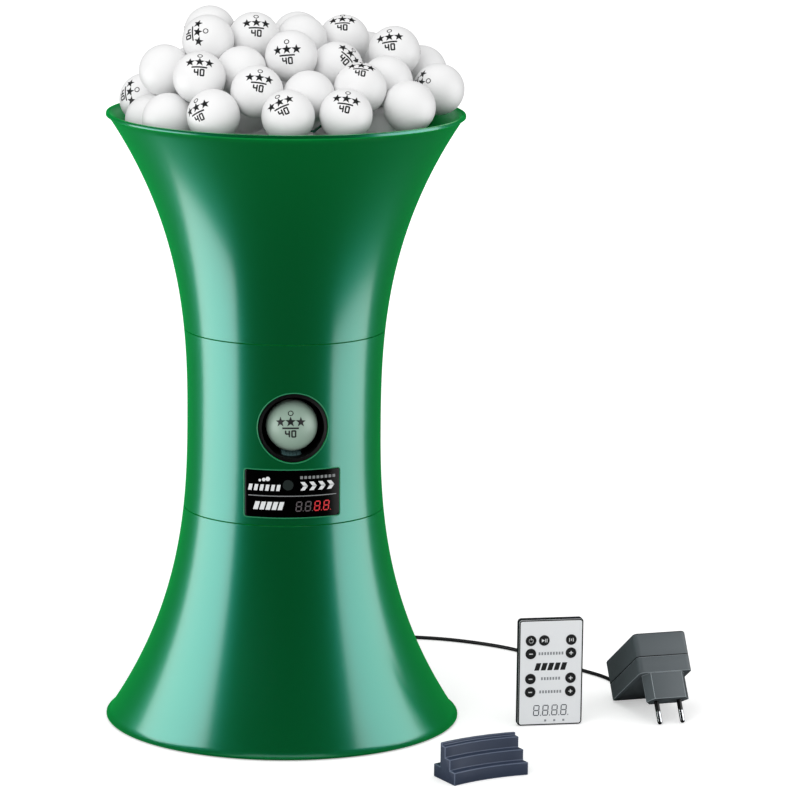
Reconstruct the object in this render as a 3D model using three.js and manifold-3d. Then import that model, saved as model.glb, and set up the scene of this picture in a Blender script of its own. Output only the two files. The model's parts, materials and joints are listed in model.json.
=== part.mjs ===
// A table tennis robot: a trumpet-shaped hopper and stand round a launch head, with its remote control,
// its mains adapter on a lead and a wedge that tilts the stand. Millimetres, +Z up, muzzle towards -Y.
import * as THREE from 'three';
import { mergeVertices } from 'three/addons/utils/BufferGeometryUtils.js';
import Module from 'manifold-3d';

// Sizes that several pieces share
const rimHeight = 480;
const rimRadius = 139;
const waistRadius = 75.7;
const flarePower = 2.55;
const wall = 2.6;
const ballDiameter = 40;
const seatGap = 0.3;
const runGap = 0.8;
const overrun = 5;
const shellSides = 32;
const pi = Math.PI;
const ballRadius = ballDiameter / 2;

// Place of the robot's axis, and of each thing that stands beside it, measured from that axis
const axisPlaceX = -46.7;
const axisPlaceY = 37.4;
const remotePlaceX = 206.5;
const remotePlaceY = -52.4;
const remoteYaw = 3.1 * pi / 180;
const wedgePlaceX = 138.85;
const wedgePlaceY = -202.6;
const wedgeYaw = 23.3 * pi / 180;
const adapterPlaceX = 303.2;
const adapterPlaceY = -55.1;
const adapterYaw = 10.5 * pi / 180;

// Seam between stand and head, and what both seams are made of
const lowerSeam = 169.6;
const seamWidth = 0.5;
const spigotHeight = 8;
const spigotWall = 2.4;
const lugDepth = 2;
const lugPlay = 1;
const lugHeight = 2.4;
const lugSpread = 24 * pi / 180;
const lugCount = 3;
const beadHeight = 3;
const beadDepth = 1.4;
const hemHeight = 2.5;
const floorGap = 0.8;

// Deck that the balls lie on, and the rotor that moves them round to the drop hole
const deckThickness = 3;
const ledgeThickness = 3;
const ledgeWidth = 10;
const dropClearance = 1.5;
const dropInset = 3;
const rotorPlay = 0.9;
const rotorHeight = 26;
const pocketClearance = 2;
const hubRadius = 21;
const hubDomeHeight = 14;
const spindleRadius = 4;
const gearboxRadius = 17;
const gearboxHeight = 12;
const motorRadius = 10.2;
const motorAcrossFlats = 15.4;
const motorLength = 25;
const feedMotorLength = 13;
const screwRadius = 1.5;
const screwHeadRadius = 2.6;
const screwHeadHeight = 1.8;
const screwLength = 5;

// Launch head: chute, barrel, wheels and their motors
const muzzleDiameter = 54;
const barrelWall = 2.7;
const barrelBack = 20;
const barrelSides = 22;
const chuteClearance = 1.5;
const chuteWall = 1.8;
const chuteBend = 34;
const chuteOverlap = 6;
const wheelRadius = 16;
const wheelWidth = 15;
const tyreThickness = 4.6;
const nip = 37;
const wheelSetback = 50;
const shaftRadius = 1.2;
const plateThickness = 2.4;
const plateMargin = 5;

// Front panel and what lies behind it
const panelHeight = 36.5;
const panelHalfAngle = 28.5 * pi / 180;
const panelThickness = 3;
const panelProud = 0.4;
const panelCorner = 2;
const digitsWidth = 28;
const digitsHeight = 10;
const digitsDepth = 4;
const digitsOffset = 15.5;
const digitsLift = 6.8;
const receiverRadius = 4;
const receiverOffset = 4;
const receiverLift = 25.2;
const boardThickness = 1.6;
const displayBoardWidth = 24;
const displayBoardHeight = 22;
const displayBoardSetback = 66.2;

// Heights inside the head, each from the one below it: panel, muzzle, deck, seam to the hopper, and the jack
const panelAboveSeam = 6.9;
const muzzleAbovePanel = 6;
const deckAboveWheel = 5.8;
const seamAboveDeck = 8.4;
const jackAboveSeam = 20.4;
const panelBottom = lowerSeam + panelAboveSeam;
const barrelHeight = panelBottom + panelHeight + muzzleAbovePanel + muzzleDiameter / 2;
const deckHeight = barrelHeight + nip / 2 + 2 * wheelRadius + deckAboveWheel;
const upperSeam = deckHeight + seamAboveDeck;
const jackHeight = lowerSeam + jackAboveSeam;

// Chassis floor, control board and power jack at the back
const chassisThickness = 2.4;
const chassisLedgeWidth = 4;
const controlBoardWidth = 60;
const controlBoardHeight = 48;
const controlBoardSetback = 58;
const jackWidth = 11;
const jackNoseRadius = 4.6;
const jackBoreRadius = 3;
const plugBarrelRadius = 2.6;
const plugBarrelLength = 8;
const plugGripRadius = 5;
const plugGripLength = 22;
const plugReliefLength = 9;

// Stand: bottom cover and feet
const coverHeight = 2.2;
const coverThickness = 2.2;
const coverLedgeWidth = 10;
const footRadius = 9;
const footInset = 27;
const footRing = rimRadius - footInset;
const footCount = 4;
const footRecess = 1;

// Pile of balls
const packShare = 0.995;
const nearShare = 1.1;
const gripShare = 0.3;
const stayShare = 0.04;
const facetShare = 1.07;
const coarseFacetShare = 1.2;
const settleRounds = 120;
const freeRounds = 30;

// Remote control, the size of a bank card
const remoteWidth = 52;
const remoteHeight = 86;
const remoteThickness = 6.5;
const remoteCorner = 3;
const remoteBackThickness = 5;
const faceInset = 0.5;
const remoteFloor = 0.7;
const remoteBoardBottom = 2.8;
const remoteBoardThickness = 1;
const remoteRim = 2.2;
const keySides = 10;
const keyProud = 0.5;
const keyTravel = 0.4;
const keyClearance = 0.3;
const keyColumnEdge = 9.9;
const keyPlayColumn = 20.5;
const keyRowTopShare = 0.1977;
const keyRowSecondShare = 0.3209;
const keyRowThirdShare = 0.557;
const keyRowFourthShare = 0.6814;
const keyPitchShare = 0.387;
const trayShare = 0.2674;
const keyRowTop = remoteHeight * keyRowTopShare;
const keyRowSecond = remoteHeight * keyRowSecondShare;
const keyRowThird = remoteHeight * keyRowThirdShare;
const keyRowFourth = remoteHeight * keyRowFourthShare;
const keyRadius = (keyRowSecond - keyRowTop) * keyPitchShare;
const trayWidth = remoteHeight * trayShare;
const cellMargin = 1.5;
const trayLength = 26;
const trayThickness = 3.2;
const trayBottom = 3.5;
const cellRadius = trayWidth / 2 - cellMargin;
const cellThickness = 2.5;
const windowWidth = 7;
const windowHeight = 2.2;

// Mains adapter with two round pins
const adapterWidth = 44.3;
const adapterLength = 73.8;
const adapterThickness = 33.1;
const adapterCorner = 4;
const adapterEdge = 1.5;
const adapterParting = 13.2;
const plugBlockWidth = 36;
const plugBlockLength = 15.5;
const plugBlockHeight = 21.5;
const plugBlockChamfer = 5;
const pinInset = 8.6;
const pinRadius = 2;
const pinLength = 19;
const pinSpacing = 19;
const reliefRadius = 3.6;
const reliefLength = 7;

// Wedge with three steps
const wedgeChord = 65;
const stepHeight = 10.4;
const stepDepth = 7;
const stepCount = 3;
const lipHeight = 3.5;
const lipDepth = 2.4;
const heelDepth = 9;

// Lead from the robot to the adapter
const cordDiameter = 3;
const cordSides = 8;
const cordStep = 3.3;
const coilTurns = 6;
const coilPitch = 3.5;
const coilMiddleRadius = 16.5;
const coilStepsPerTurn = 20;
const coilSides = 6;
const coilPlaceX = -36;
const coilPlaceY = 226;
const floorLift = 0.05;

const finishes = {
  greenPlastic: { color: 0x006b35, roughness: 0.28, metalness: 0 },
  darkPlastic: { color: 0x2b2f33, roughness: 0.55, metalness: 0 },
  blackPlastic: { color: 0x0b0c0d, roughness: 0.4, metalness: 0 },
  blackGloss: { color: 0x050506, roughness: 0.08, metalness: 0 },
  whiteBall: { color: 0xf3f3f0, roughness: 0.35, metalness: 0 },
  greyPlastic: { color: 0x9aa0a2, roughness: 0.5, metalness: 0 },
  silverPlastic: { color: 0xdfe2e3, roughness: 0.35, metalness: 0.1 },
  tealRubber: { color: 0x4f6f70, roughness: 0.8, metalness: 0 },
  redRubber: { color: 0x4a1f18, roughness: 0.8, metalness: 0 },
  blackRubber: { color: 0x16181a, roughness: 0.75, metalness: 0 },
  slateRubber: { color: 0x2d3444, roughness: 0.7, metalness: 0 },
  steel: { color: 0xb9bcc0, roughness: 0.3, metalness: 1 },
  boardGreen: { color: 0x1d5a32, roughness: 0.5, metalness: 0 },
  cordBlack: { color: 0x121314, roughness: 0.6, metalness: 0 },
};

const wasm = await Module();
wasm.setup();

// A geometry with shared corners, no thin triangles and its faces outwards, as a solid to join and cut
function solidOf(geometry) {
  const bare = geometry.clone();
  bare.deleteAttribute('normal');
  bare.deleteAttribute('uv');
  const merged = mergeVertices(bare);
  const place = merged.getAttribute('position');
  const index = merged.index.array;
  const corner = [new THREE.Vector3(), new THREE.Vector3(), new THREE.Vector3()];
  const faces = [];
  let volume = 0;
  for (let i = 0; i < index.length; i += 3) {
    const [a, b, c] = index.slice(i, i + 3);
    if (a === b || b === c || c === a) continue;
    faces.push(a, b, c);
    [a, b, c].forEach((at, k) => corner[k].fromBufferAttribute(place, at));
    volume += corner[0].dot(corner[1].clone().cross(corner[2]));
  }
  if (volume < 0) faces.reverse();
  const mesh = new wasm.Mesh({
    numProp: 3,
    vertProperties: new Float32Array(place.array),
    triVerts: new Uint32Array(faces),
  });
  return new wasm.Manifold(mesh);
}

function geometryOf(manifold) {
  const mesh = manifold.getMesh();
  const geometry = new THREE.BufferGeometry();
  geometry.setAttribute('position', new THREE.BufferAttribute(new Float32Array(mesh.vertProperties), 3));
  geometry.setIndex(new THREE.BufferAttribute(new Uint32Array(mesh.triVerts), 1));
  geometry.computeVertexNormals();
  return geometry;
}

function join(...geometries) {
  const [first, ...others] = geometries.map(solidOf);
  return geometryOf(others.reduce((whole, next) => whole.add(next), first));
}

function cut(geometry, ...tools) {
  return geometryOf(tools.map(solidOf).reduce((whole, next) => whole.subtract(next), solidOf(geometry)));
}

function common(first, second) {
  return geometryOf(solidOf(first).intersect(solidOf(second)));
}

function piece(name, geometry, finish) {
  const whole = geometryOf(solidOf(geometry));
  const mesh = new THREE.Mesh(whole, new THREE.MeshStandardMaterial(finishes[finish]));
  mesh.name = name;
  return mesh;
}

// A closed ring of [radius, height] points turned round the Z axis
function revolve(profile, sides = shellSides) {
  const points = [...profile, profile[0]].map(([radius, height]) => new THREE.Vector2(radius, height));
  return new THREE.LatheGeometry(points, sides).rotateX(pi / 2);
}

// A round bar along Z from one height to another, thinner at one end where asked
function bar(radius, low, high, sides = 16, topRadius = radius) {
  const geometry = new THREE.CylinderGeometry(topRadius, radius, high - low, sides);
  return geometry.rotateX(pi / 2).translate(0, 0, (low + high) / 2);
}

function block(width, depth, height) {
  return new THREE.BoxGeometry(width, depth, height);
}

// A rounded rectangle, its centre on the origin, for an extrusion along Z
function roundedShape(width, height, radius) {
  const shape = new THREE.Shape();
  const x = width / 2 - radius;
  const y = height / 2 - radius;
  shape.absarc(x, y, radius, 0, pi / 2);
  shape.absarc(-x, y, radius, pi / 2, pi);
  shape.absarc(-x, -y, radius, pi, 1.5 * pi);
  shape.absarc(x, -y, radius, 1.5 * pi, 2 * pi);
  return shape;
}

function slab(width, height, radius, thickness, arcSteps = 3) {
  return new THREE.ExtrudeGeometry(roundedShape(width, height, radius), {
    depth: thickness,
    bevelEnabled: false,
    curveSegments: arcSteps,
  });
}

// Outline of the trumpet: narrow at half height, wide at rim and floor
function shellRadius(height) {
  const share = Math.abs(2 * height / rimHeight - 1);
  return waistRadius + (rimRadius - waistRadius) * share ** flarePower;
}

function shellCurve(low, high, steps, inset = 0, ease = 1) {
  const points = [];
  for (let i = 0; i <= steps; i += 1) {
    const height = low + (high - low) * (i / steps) ** ease;
    points.push([shellRadius(height) - inset, height]);
  }
  return points;
}

// Three short arcs that stand out from a ring, as a bayonet has
function lugRing(inner, outer, low, high) {
  const ring = revolve([[inner, low], [outer, low], [outer, high], [inner, high]]);
  const reach = outer + overrun;
  const sectors = [];
  for (let i = 0; i < lugCount; i += 1) {
    const shape = new THREE.Shape();
    shape.moveTo(0, 0);
    shape.lineTo(reach * Math.cos(lugSpread / 2) * 1.1, -reach * Math.sin(lugSpread / 2) * 1.1);
    shape.lineTo(reach * Math.cos(lugSpread / 2) * 1.1, reach * Math.sin(lugSpread / 2) * 1.1);
    const sector = new THREE.ExtrudeGeometry(shape, { depth: high - low + 2 * overrun, bevelEnabled: false });
    sector.translate(0, 0, low - overrun).rotateZ(2 * pi * i / lugCount + pi / 6);
    sectors.push(common(ring, sector));
  }
  return sectors;
}

// Spigot of a seam: it stands up inside the shell above, and its lugs lie over that shell's lugs
const upperBore = shellRadius(upperSeam) - wall;
const lowerBore = shellRadius(lowerSeam + spigotHeight) - wall;
const lugTurnHeight = spigotHeight - lugHeight;
const lugGap = seatGap + lugPlay / 2;

function spigotRadius(bore) {
  return bore - lugDepth - lugPlay;
}

// Hopper

function makeBowl() {
  const bottom = upperSeam + seamWidth;
  const beadLow = rimHeight - beadHeight;
  const outer = shellCurve(bottom, beadLow, 7, 0, 0.8);
  const inner = shellCurve(bottom, rimHeight, 4, wall, 0.8).reverse();
  const bead = [
    [shellRadius(beadLow) + beadDepth, beadLow],
    [rimRadius, rimHeight - beadHeight / 3],
    [rimRadius - beadHeight / 6, rimHeight],
  ];
  const shell = revolve([...outer, ...bead, ...inner]);
  const lugLow = bottom + runGap;
  const lugTop = upperSeam + lugTurnHeight - seatGap;
  return join(shell, ...lugRing(spigotRadius(upperBore) + lugGap, upperBore + wall / 2, lugLow, lugTop));
}

// Balls that lie buried, as rings: how many, then ring radius and height over the rim in ball diameters
const buriedRingShares = [[1, 0, 0.4], [5, 1.05, 0.3]];

// Balls that show, from the front of the rim to its back and up: places in ball diameters from the centre
// of the rim
const shownShares = [
  [-2.5, -1.5, 0], [-1.7, -2.4, 0.15], [-0.25, -2.8, 0.25], [0.9, -2.6, 0.3], [1.65, -1.25, -0.15],
  [2.25, -1.9, 0.25], [-2.8, -0.6, 0], [-2.65, 0.4, 0.25], [2.95, -0.5, 0.45], [-2.35, -0.5, 0.7],
  [-1.8, -1.5, 0.8], [-0.8, -2, 0.7], [0.25, -1.9, 0.5], [1.25, -1.9, 0.7], [1.85, -1, 0.6],
  [2.65, 0.5, 0.75], [2.1, -0.1, 1.2], [0.85, -0.75, 0.85], [1.75, 1.5, 0.85], [-0.15, -1.1, 1.2],
  [-0.95, -0.9, 0.75], [-1.65, -0.4, 1.35], [-0.7, -0.1, 1.45], [0.3, 0.25, 1.4], [1.15, 0.9, 1.3],
  [-2.5, 1.4, 0.1], [-1.85, 2.2, 0.1], [-0.95, 2.7, 0.1], [0.1, 2.85, 0.1], [1.1, 2.6, 0.1],
  [2, 2.05, 0.1], [2.6, 1.2, 0.1], [0.75, 2, 0.7], [-0.4, 2.1, 0.7], [-1.4, 1.65, 0.7],
  [-2, 0.8, 0.7], [0.4, 1.25, 1.25], [-0.6, 1.1, 1.25], [-1.55, 0.6, 1.2],
];

function ringBalls() {
  const balls = [];
  for (const [count, radiusShare, upShare] of buriedRingShares) {
    for (let i = 0; i < count; i += 1) {
      const angle = 2 * pi * i / count;
      balls.push([radiusShare * Math.cos(angle), radiusShare * Math.sin(angle), upShare]);
    }
  }
  return balls;
}

// The wall's slope at the rim, and the room that a ball needs beside it
const rimSlope = (rimRadius - shellRadius(rimHeight - ballRadius)) / ballRadius;
const rimLong = Math.sqrt(1 + rimSlope * rimSlope);
const ballRoom = ballRadius * facetShare + 3 * seatGap;

// Balls that press on each other part, those that nearly touch come together, each is drawn back to its
// own place, and the wall keeps them in
function settleBalls(balls) {
  const home = balls.map((ball) => [...ball]);
  const packing = ballDiameter * packShare;
  const near = ballDiameter * nearShare;
  for (let round = 0; round < settleRounds; round += 1) {
    for (let i = 0; i < balls.length; i += 1) {
      for (let j = i + 1; j < balls.length; j += 1) partBalls(balls[i], balls[j], packing, near);
    }
    balls.forEach((ball, i) => {
      if (round < settleRounds - freeRounds) {
        for (let k = 0; k < 3; k += 1) ball[k] += (home[i][k] - ball[k]) * stayShare;
      }
      keepInside(ball);
    });
  }
  return balls;
}

function partBalls(first, second, packing, near) {
  const x = second[0] - first[0];
  const y = second[1] - first[1];
  const z = second[2] - first[2];
  const long = Math.sqrt(x * x + y * y + z * z);
  if (long > near) return;
  const share = (long - packing) / 2 / long * (long < packing ? 1 : gripShare);
  [x, y, z].forEach((value, k) => {
    first[k] += value * share;
    second[k] -= value * share;
  });
}

function keepInside(ball) {
  const out = Math.sqrt(ball[0] * ball[0] + ball[1] * ball[1]);
  const touch = Math.min(rimHeight, ball[2] - ballRoom * rimSlope / rimLong);
  const over = out - (rimRadius - (rimHeight - touch) * rimSlope - wall - ballRoom / rimLong);
  if (over <= 0) return;
  const inward = over / (rimLong * rimLong) / out;
  ball[0] -= ball[0] * inward;
  ball[1] -= ball[1] * inward;
  ball[2] += over * rimSlope / (rimLong * rimLong);
}

// The balls touch, so they make one body. The buried ones have fewer facets, and those further down in
// the hopper, which nothing shows, are left out.
function makeHeap() {
  const shown = solidOf(new THREE.IcosahedronGeometry(ballRadius * facetShare, 1));
  const buried = solidOf(new THREE.IcosahedronGeometry(ballRadius * coarseFacetShare, 0));
  const rings = ringBalls();
  const places = settleBalls([...rings, ...shownShares].map(([x, y, up]) => [
    x * ballDiameter, y * ballDiameter, rimHeight + up * ballDiameter,
  ]));
  const stack = (ball, some) => some.map((place) => ball.translate(place))
    .reduce((whole, next) => whole.add(next));
  const heap = stack(buried, places.slice(0, rings.length)).add(stack(shown, places.slice(rings.length)));
  const bodies = heap.decompose().sort((first, second) => second.volume() - first.volume());
  const loose = bodies.slice(1).filter((body) => body.volume() > 0).length;
  console.log(`heap: ${places.length} balls, ${loose} loose, ${bodies[0].numTri()} triangles`);
  return geometryOf(bodies[0]);
}

// Feed deck and rotor

const headBore = spigotRadius(upperBore) - spigotWall;
const ledgeTop = deckHeight - seatGap;
const ledgeInner = headBore - ledgeWidth;
const screwRing = headBore - ledgeWidth / 2;
const rotorRadius = screwRing - screwHeadRadius - rotorPlay;
const dropSetback = headBore - ballRadius - dropClearance - dropInset;
const dropRadius = ballRadius + dropClearance;

function makeDeck() {
  const radius = headBore - 2 * seatGap;
  const top = deckHeight + deckThickness;
  const disc = revolve([[0, deckHeight], [radius, deckHeight], [radius, top], [0, top]]);
  const drop = bar(dropRadius, deckHeight - overrun, top + overrun, 20).translate(0, dropSetback, 0);
  const bush = bar(spindleRadius + seatGap, deckHeight - overrun, top + overrun);
  const hole = screwRadius + seatGap;
  const holes = screwAngles().map((angle) => bar(hole, deckHeight - overrun, top + overrun, 10)
    .translate(screwRing * Math.cos(angle), screwRing * Math.sin(angle), 0));
  return cut(disc, drop, bush, ...holes);
}

function screwAngles() {
  return [0, 1, 2].map((i) => pi / 6 + 2 * pi * i / 3);
}

function makeScrew(angle) {
  const top = deckHeight + deckThickness + seatGap;
  const head = screwHeadHeight;
  const profile = [
    [0, top - deckThickness - screwLength],
    [screwRadius, top - deckThickness - screwLength + screwRadius],
    [screwRadius, top],
    [screwHeadRadius, top],
    [screwHeadRadius, top + head / 2],
    [screwHeadRadius * 0.7, top + head],
    [0, top + head],
  ];
  return revolve(profile, 8).translate(screwRing * Math.cos(angle), screwRing * Math.sin(angle), 0);
}

const rotorLow = deckHeight + deckThickness + runGap;

function makeRotor() {
  const top = rotorLow + rotorHeight;
  const wheel = revolve([
    [0, rotorLow], [rotorRadius, rotorLow], [rotorRadius, top - rotorHeight / 4],
    [rotorRadius * 0.85, top], [hubRadius, top], [hubRadius * 0.75, top + hubDomeHeight * 0.6],
    [hubRadius * 0.35, top + hubDomeHeight], [0, top + hubDomeHeight],
  ], 20);
  const pocket = ballRadius + pocketClearance;
  const pockets = [0, 1, 2, 3].map((i) => bar(pocket, rotorLow - overrun, top + hubDomeHeight + overrun, 16)
    .translate(0, dropSetback, 0).rotateZ(pi / 2 * i));
  const spindle = bar(spindleRadius, ledgeTop - ledgeThickness, rotorLow + overrun, 12);
  return join(cut(wheel, ...pockets), spindle);
}

const gearboxTop = ledgeTop - ledgeThickness - seatGap;

function makeGearbox() {
  const low = gearboxTop - gearboxHeight;
  const edge = gearboxHeight / 6;
  const column = spindleRadius * 2.5;
  const bush = deckHeight - seatGap;
  return cut(
    revolve([
      [0, low], [gearboxRadius - edge, low], [gearboxRadius, low + edge],
      [gearboxRadius, gearboxTop], [column, gearboxTop], [column, bush], [0, bush],
    ], 16),
    bar(spindleRadius + seatGap, gearboxTop - gearboxHeight / 3, bush + overrun, 12),
  );
}

// A small motor: a round can with two flats, along Z, with a boss at the output end
function motorCan(length) {
  const can = bar(motorRadius, 0, length, 20);
  const flats = block(motorRadius * 3, motorAcrossFlats, length * 3);
  const boss = bar(motorRadius * 0.3, -motorRadius * 0.12, length / 2, 12);
  return join(common(can, flats), boss);
}

function makeFeedMotor() {
  return motorCan(feedMotorLength).rotateX(pi)
    .translate(0, 0, gearboxTop - gearboxHeight - seatGap - motorRadius * 0.12);
}

// Launch head

class ElbowCurve extends THREE.Curve {
  constructor(high, low, back, front) {
    super();
    this.high = high;
    this.low = low;
    this.back = back;
    this.front = front;
    this.drop = high - low - chuteBend;
    this.run = back - chuteBend - front;
  }

  // Straight down, a quarter turn forward, then level
  getPoint(share, target = new THREE.Vector3()) {
    const bend = chuteBend * pi / 2;
    const along = share * (this.drop + bend + this.run);
    if (along < this.drop) return target.set(0, this.back, this.high - along);
    if (along < this.drop + bend) {
      const angle = (along - this.drop) / chuteBend;
      const y = this.back - chuteBend * (1 - Math.cos(angle));
      return target.set(0, y, this.low + chuteBend * (1 - Math.sin(angle)));
    }
    return target.set(0, this.back - chuteBend - (along - this.drop - bend), this.low);
  }
}

const chuteBore = ballRadius + chuteClearance;

function makeChute() {
  const ring = new THREE.Shape();
  ring.absarc(0, 0, chuteBore + chuteWall, 0, 2 * pi);
  const hole = new THREE.Path();
  hole.absarc(0, 0, chuteBore, 0, 2 * pi, true);
  ring.holes.push(hole);
  const front = -barrelBack - chuteOverlap;
  const path = new ElbowCurve(deckHeight - seatGap, barrelHeight, dropSetback, front);
  return new THREE.ExtrudeGeometry(ring, { steps: 6, curveSegments: 6, extrudePath: path });
}

const muzzleRadius = muzzleDiameter / 2;
const barrelOuter = muzzleRadius - seatGap;
const wheelDrop = nip / 2 + wheelRadius;

function alongY(geometry) {
  return geometry.rotateX(pi / 2).translate(0, 0, barrelHeight);
}

function makeLaunchFrame() {
  const back = barrelBack;
  const front = waistRadius - seatGap;
  const tube = alongY(bar(barrelOuter, back, front + overrun, barrelSides));
  const faced = common(tube, bar(waistRadius - seatGap, 0, rimHeight, shellSides));
  const bore = alongY(bar(barrelOuter - barrelWall, back - overrun, front + 2 * overrun, barrelSides));
  const plateHeight = 2 * (wheelDrop + motorAcrossFlats / 2 + plateMargin / 2);
  const plateX = wheelWidth / 2 + runGap + plateThickness / 2;
  const plate = slab(2 * (motorRadius + plateMargin), plateHeight, plateMargin, plateThickness)
    .translate(0, 0, -plateThickness / 2).rotateX(pi / 2).rotateZ(pi / 2)
    .translate(plateX, -wheelSetback, barrelHeight);
  const wheelRoom = [1, -1].map((side) => revolveX(wheelRadius + 2 * runGap, wheelWidth + 2 * runGap)
    .translate(0, -wheelSetback, barrelHeight + side * wheelDrop));
  const shafts = [1, -1].map((side) => revolveX(motorRadius * 0.3 + seatGap, 4 * wheelWidth, 12)
    .translate(0, -wheelSetback, barrelHeight + side * wheelDrop));
  return cut(join(faced, plate), bore, ...wheelRoom, ...shafts);
}

function revolveX(radius, width, sides = 20) {
  return bar(radius, -width / 2, width / 2, sides).rotateY(pi / 2);
}

function makeTyre() {
  const half = wheelWidth / 2;
  const inner = wheelRadius - tyreThickness;
  const crown = tyreThickness / 8;
  return revolve([
    [inner, -half], [wheelRadius - crown, -half], [wheelRadius, -half / 2],
    [wheelRadius, half / 2], [wheelRadius - crown, half], [inner, half],
  ], 20).rotateY(pi / 2);
}

function makeHub() {
  const half = wheelWidth / 2;
  const outer = wheelRadius - tyreThickness - seatGap;
  const rim = outer * 0.82;
  const boss = outer * 0.34;
  const web = half * 0.25;
  const disc = revolve([
    [0, -half], [boss, -half], [boss, -web], [rim, -web], [rim, -half], [outer, -half],
    [outer, half], [rim, half], [rim, web], [boss, web], [boss, half], [0, half],
  ], 14).rotateY(pi / 2);
  const shaft = bar(shaftRadius, 0, half + runGap + plateThickness - motorRadius * 0.12, 10).rotateY(pi / 2);
  return join(disc, shaft);
}

function makeWheelMotor() {
  const x = wheelWidth / 2 + runGap + plateThickness + seatGap;
  return motorCan(motorLength).rotateZ(pi / 2).rotateY(pi / 2).rotateX(pi / 2).translate(x, 0, 0);
}

const heldBallGap = seatGap;
const ballSetback = wheelSetback
  + Math.sqrt((wheelRadius + ballRadius + heldBallGap) ** 2 - wheelDrop ** 2);

// Head shell, with the ledges that carry deck and chassis

const chassisLow = lowerSeam + spigotHeight + 1.5 * seatGap + chassisThickness;
const chassisTop = chassisLow + chassisThickness;

function makeHeadShell() {
  const low = lowerSeam + seamWidth;
  const high = upperSeam;
  const chassisLedgeLow = chassisLow - seatGap - chassisThickness;
  const spigot = spigotRadius(upperBore);
  const inside = (height, inset = 0) => [shellRadius(height) - wall - inset, height];
  const deckLedgeLow = ledgeTop - ledgeThickness;
  const profile = [
    ...shellCurve(low, high, 5),
    [spigot, high],
    [spigot, high + spigotHeight],
    [headBore, high + spigotHeight],
    [headBore, ledgeTop],
    [ledgeInner, ledgeTop],
    [ledgeInner, deckLedgeLow],
    inside(deckLedgeLow - ledgeThickness),
    inside(barrelHeight),
    inside(chassisLow - seatGap),
    inside(chassisLow - seatGap, chassisLedgeWidth),
    inside(chassisLedgeLow, chassisLedgeWidth),
    inside(chassisLedgeLow),
    inside(low),
  ];
  const shell = revolve(profile);
  const upperLugs = lugRing(
    spigot - spigotWall / 2, spigot + lugDepth, high + lugTurnHeight + seatGap, high + spigotHeight,
  );
  const lugLow = low + runGap;
  const lugTop = lowerSeam + lugTurnHeight - seatGap;
  const lowerLugs = lugRing(spigotRadius(lowerBore) + lugGap, lowerBore + wall / 2, lugLow, lugTop);
  const muzzle = alongY(bar(muzzleRadius, barrelBack, rimRadius, barrelSides));
  const jack = bar(jackNoseRadius + seatGap, controlBoardSetback, rimRadius, 12)
    .rotateX(-pi / 2).translate(0, 0, jackHeight);
  const holes = screwAngles().map((angle) => bar(screwRadius + seatGap, deckLedgeLow - overrun, high, 10)
    .translate(screwRing * Math.cos(angle), screwRing * Math.sin(angle), 0));
  const chuteRoom = bar(chuteBore + chuteWall + seatGap, deckLedgeLow - overrun, ledgeTop + seatGap, 20)
    .translate(0, dropSetback, 0);
  const window = panelSlice(seatGap, panelThickness, wall + overrun);
  return cut(join(shell, ...upperLugs, ...lowerLugs), muzzle, jack, chuteRoom, window, ...holes);
}

// A slice of a shell that follows the head's outline behind a rounded rectangle on its front
function panelSlice(margin, depth, proud) {
  const low = panelBottom - overrun;
  const high = panelBottom + panelHeight + overrun;
  const ring = revolve([
    ...shellCurve(low, high, 2, -proud),
    ...shellCurve(low, high, 2, depth).reverse(),
  ]);
  const width = 2 * shellRadius(panelBottom + panelHeight / 2) * Math.sin(panelHalfAngle) + 2 * margin;
  const height = panelHeight + 2 * margin;
  const outline = slab(width, height, panelCorner + margin, rimRadius)
    .rotateX(pi / 2).translate(0, 0, panelBottom + panelHeight / 2);
  return common(ring, outline);
}

function makeDigits() {
  const radius = shellRadius(panelBottom + digitsLift + digitsHeight) - panelThickness;
  const turn = Math.asin(digitsOffset / radius);
  const sag = radius - Math.sqrt(radius ** 2 - (digitsWidth / 2) ** 2);
  const setback = radius - sag - 3 * seatGap - digitsDepth / 2;
  return block(digitsWidth, digitsDepth, digitsHeight)
    .translate(0, -setback, panelBottom + digitsLift + digitsHeight / 2).rotateZ(turn);
}

function makeReceiver() {
  const height = panelBottom + receiverLift;
  const front = shellRadius(height + receiverRadius) - panelThickness - 3 * seatGap;
  const back = displayBoardSetback + boardThickness + seatGap;
  return bar(receiverRadius, back, front, 14).rotateX(pi / 2).translate(-receiverOffset, 0, height);
}

function makeDisplayBoard() {
  return block(displayBoardWidth, boardThickness, displayBoardHeight).translate(
    -displayBoardWidth / 2 + receiverRadius / 2,
    -displayBoardSetback - boardThickness / 2,
    chassisTop + seatGap + displayBoardHeight / 2,
  );
}

function makeChassis() {
  const radius = shellRadius(chassisLow) - wall - 2 * seatGap;
  const disc = revolve([[0, chassisLow], [radius, chassisLow], [radius, chassisTop], [0, chassisTop]]);
  const frontEdge = shellRadius(chassisLow) * Math.cos(panelHalfAngle);
  const front = block(2 * rimRadius, rimRadius, rimRadius)
    .translate(0, -frontEdge - rimRadius / 2 + 2 * panelThickness, chassisLow);
  return cut(disc, front);
}

function makeControlBoard() {
  return block(controlBoardWidth, boardThickness, controlBoardHeight)
    .translate(0, controlBoardSetback, chassisTop + seatGap + controlBoardHeight / 2);
}

const jackFace = shellRadius(jackHeight);
const jackBack = controlBoardSetback + boardThickness / 2 + seatGap;
const jackShoulder = jackFace - wall - 3 * seatGap;

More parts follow.
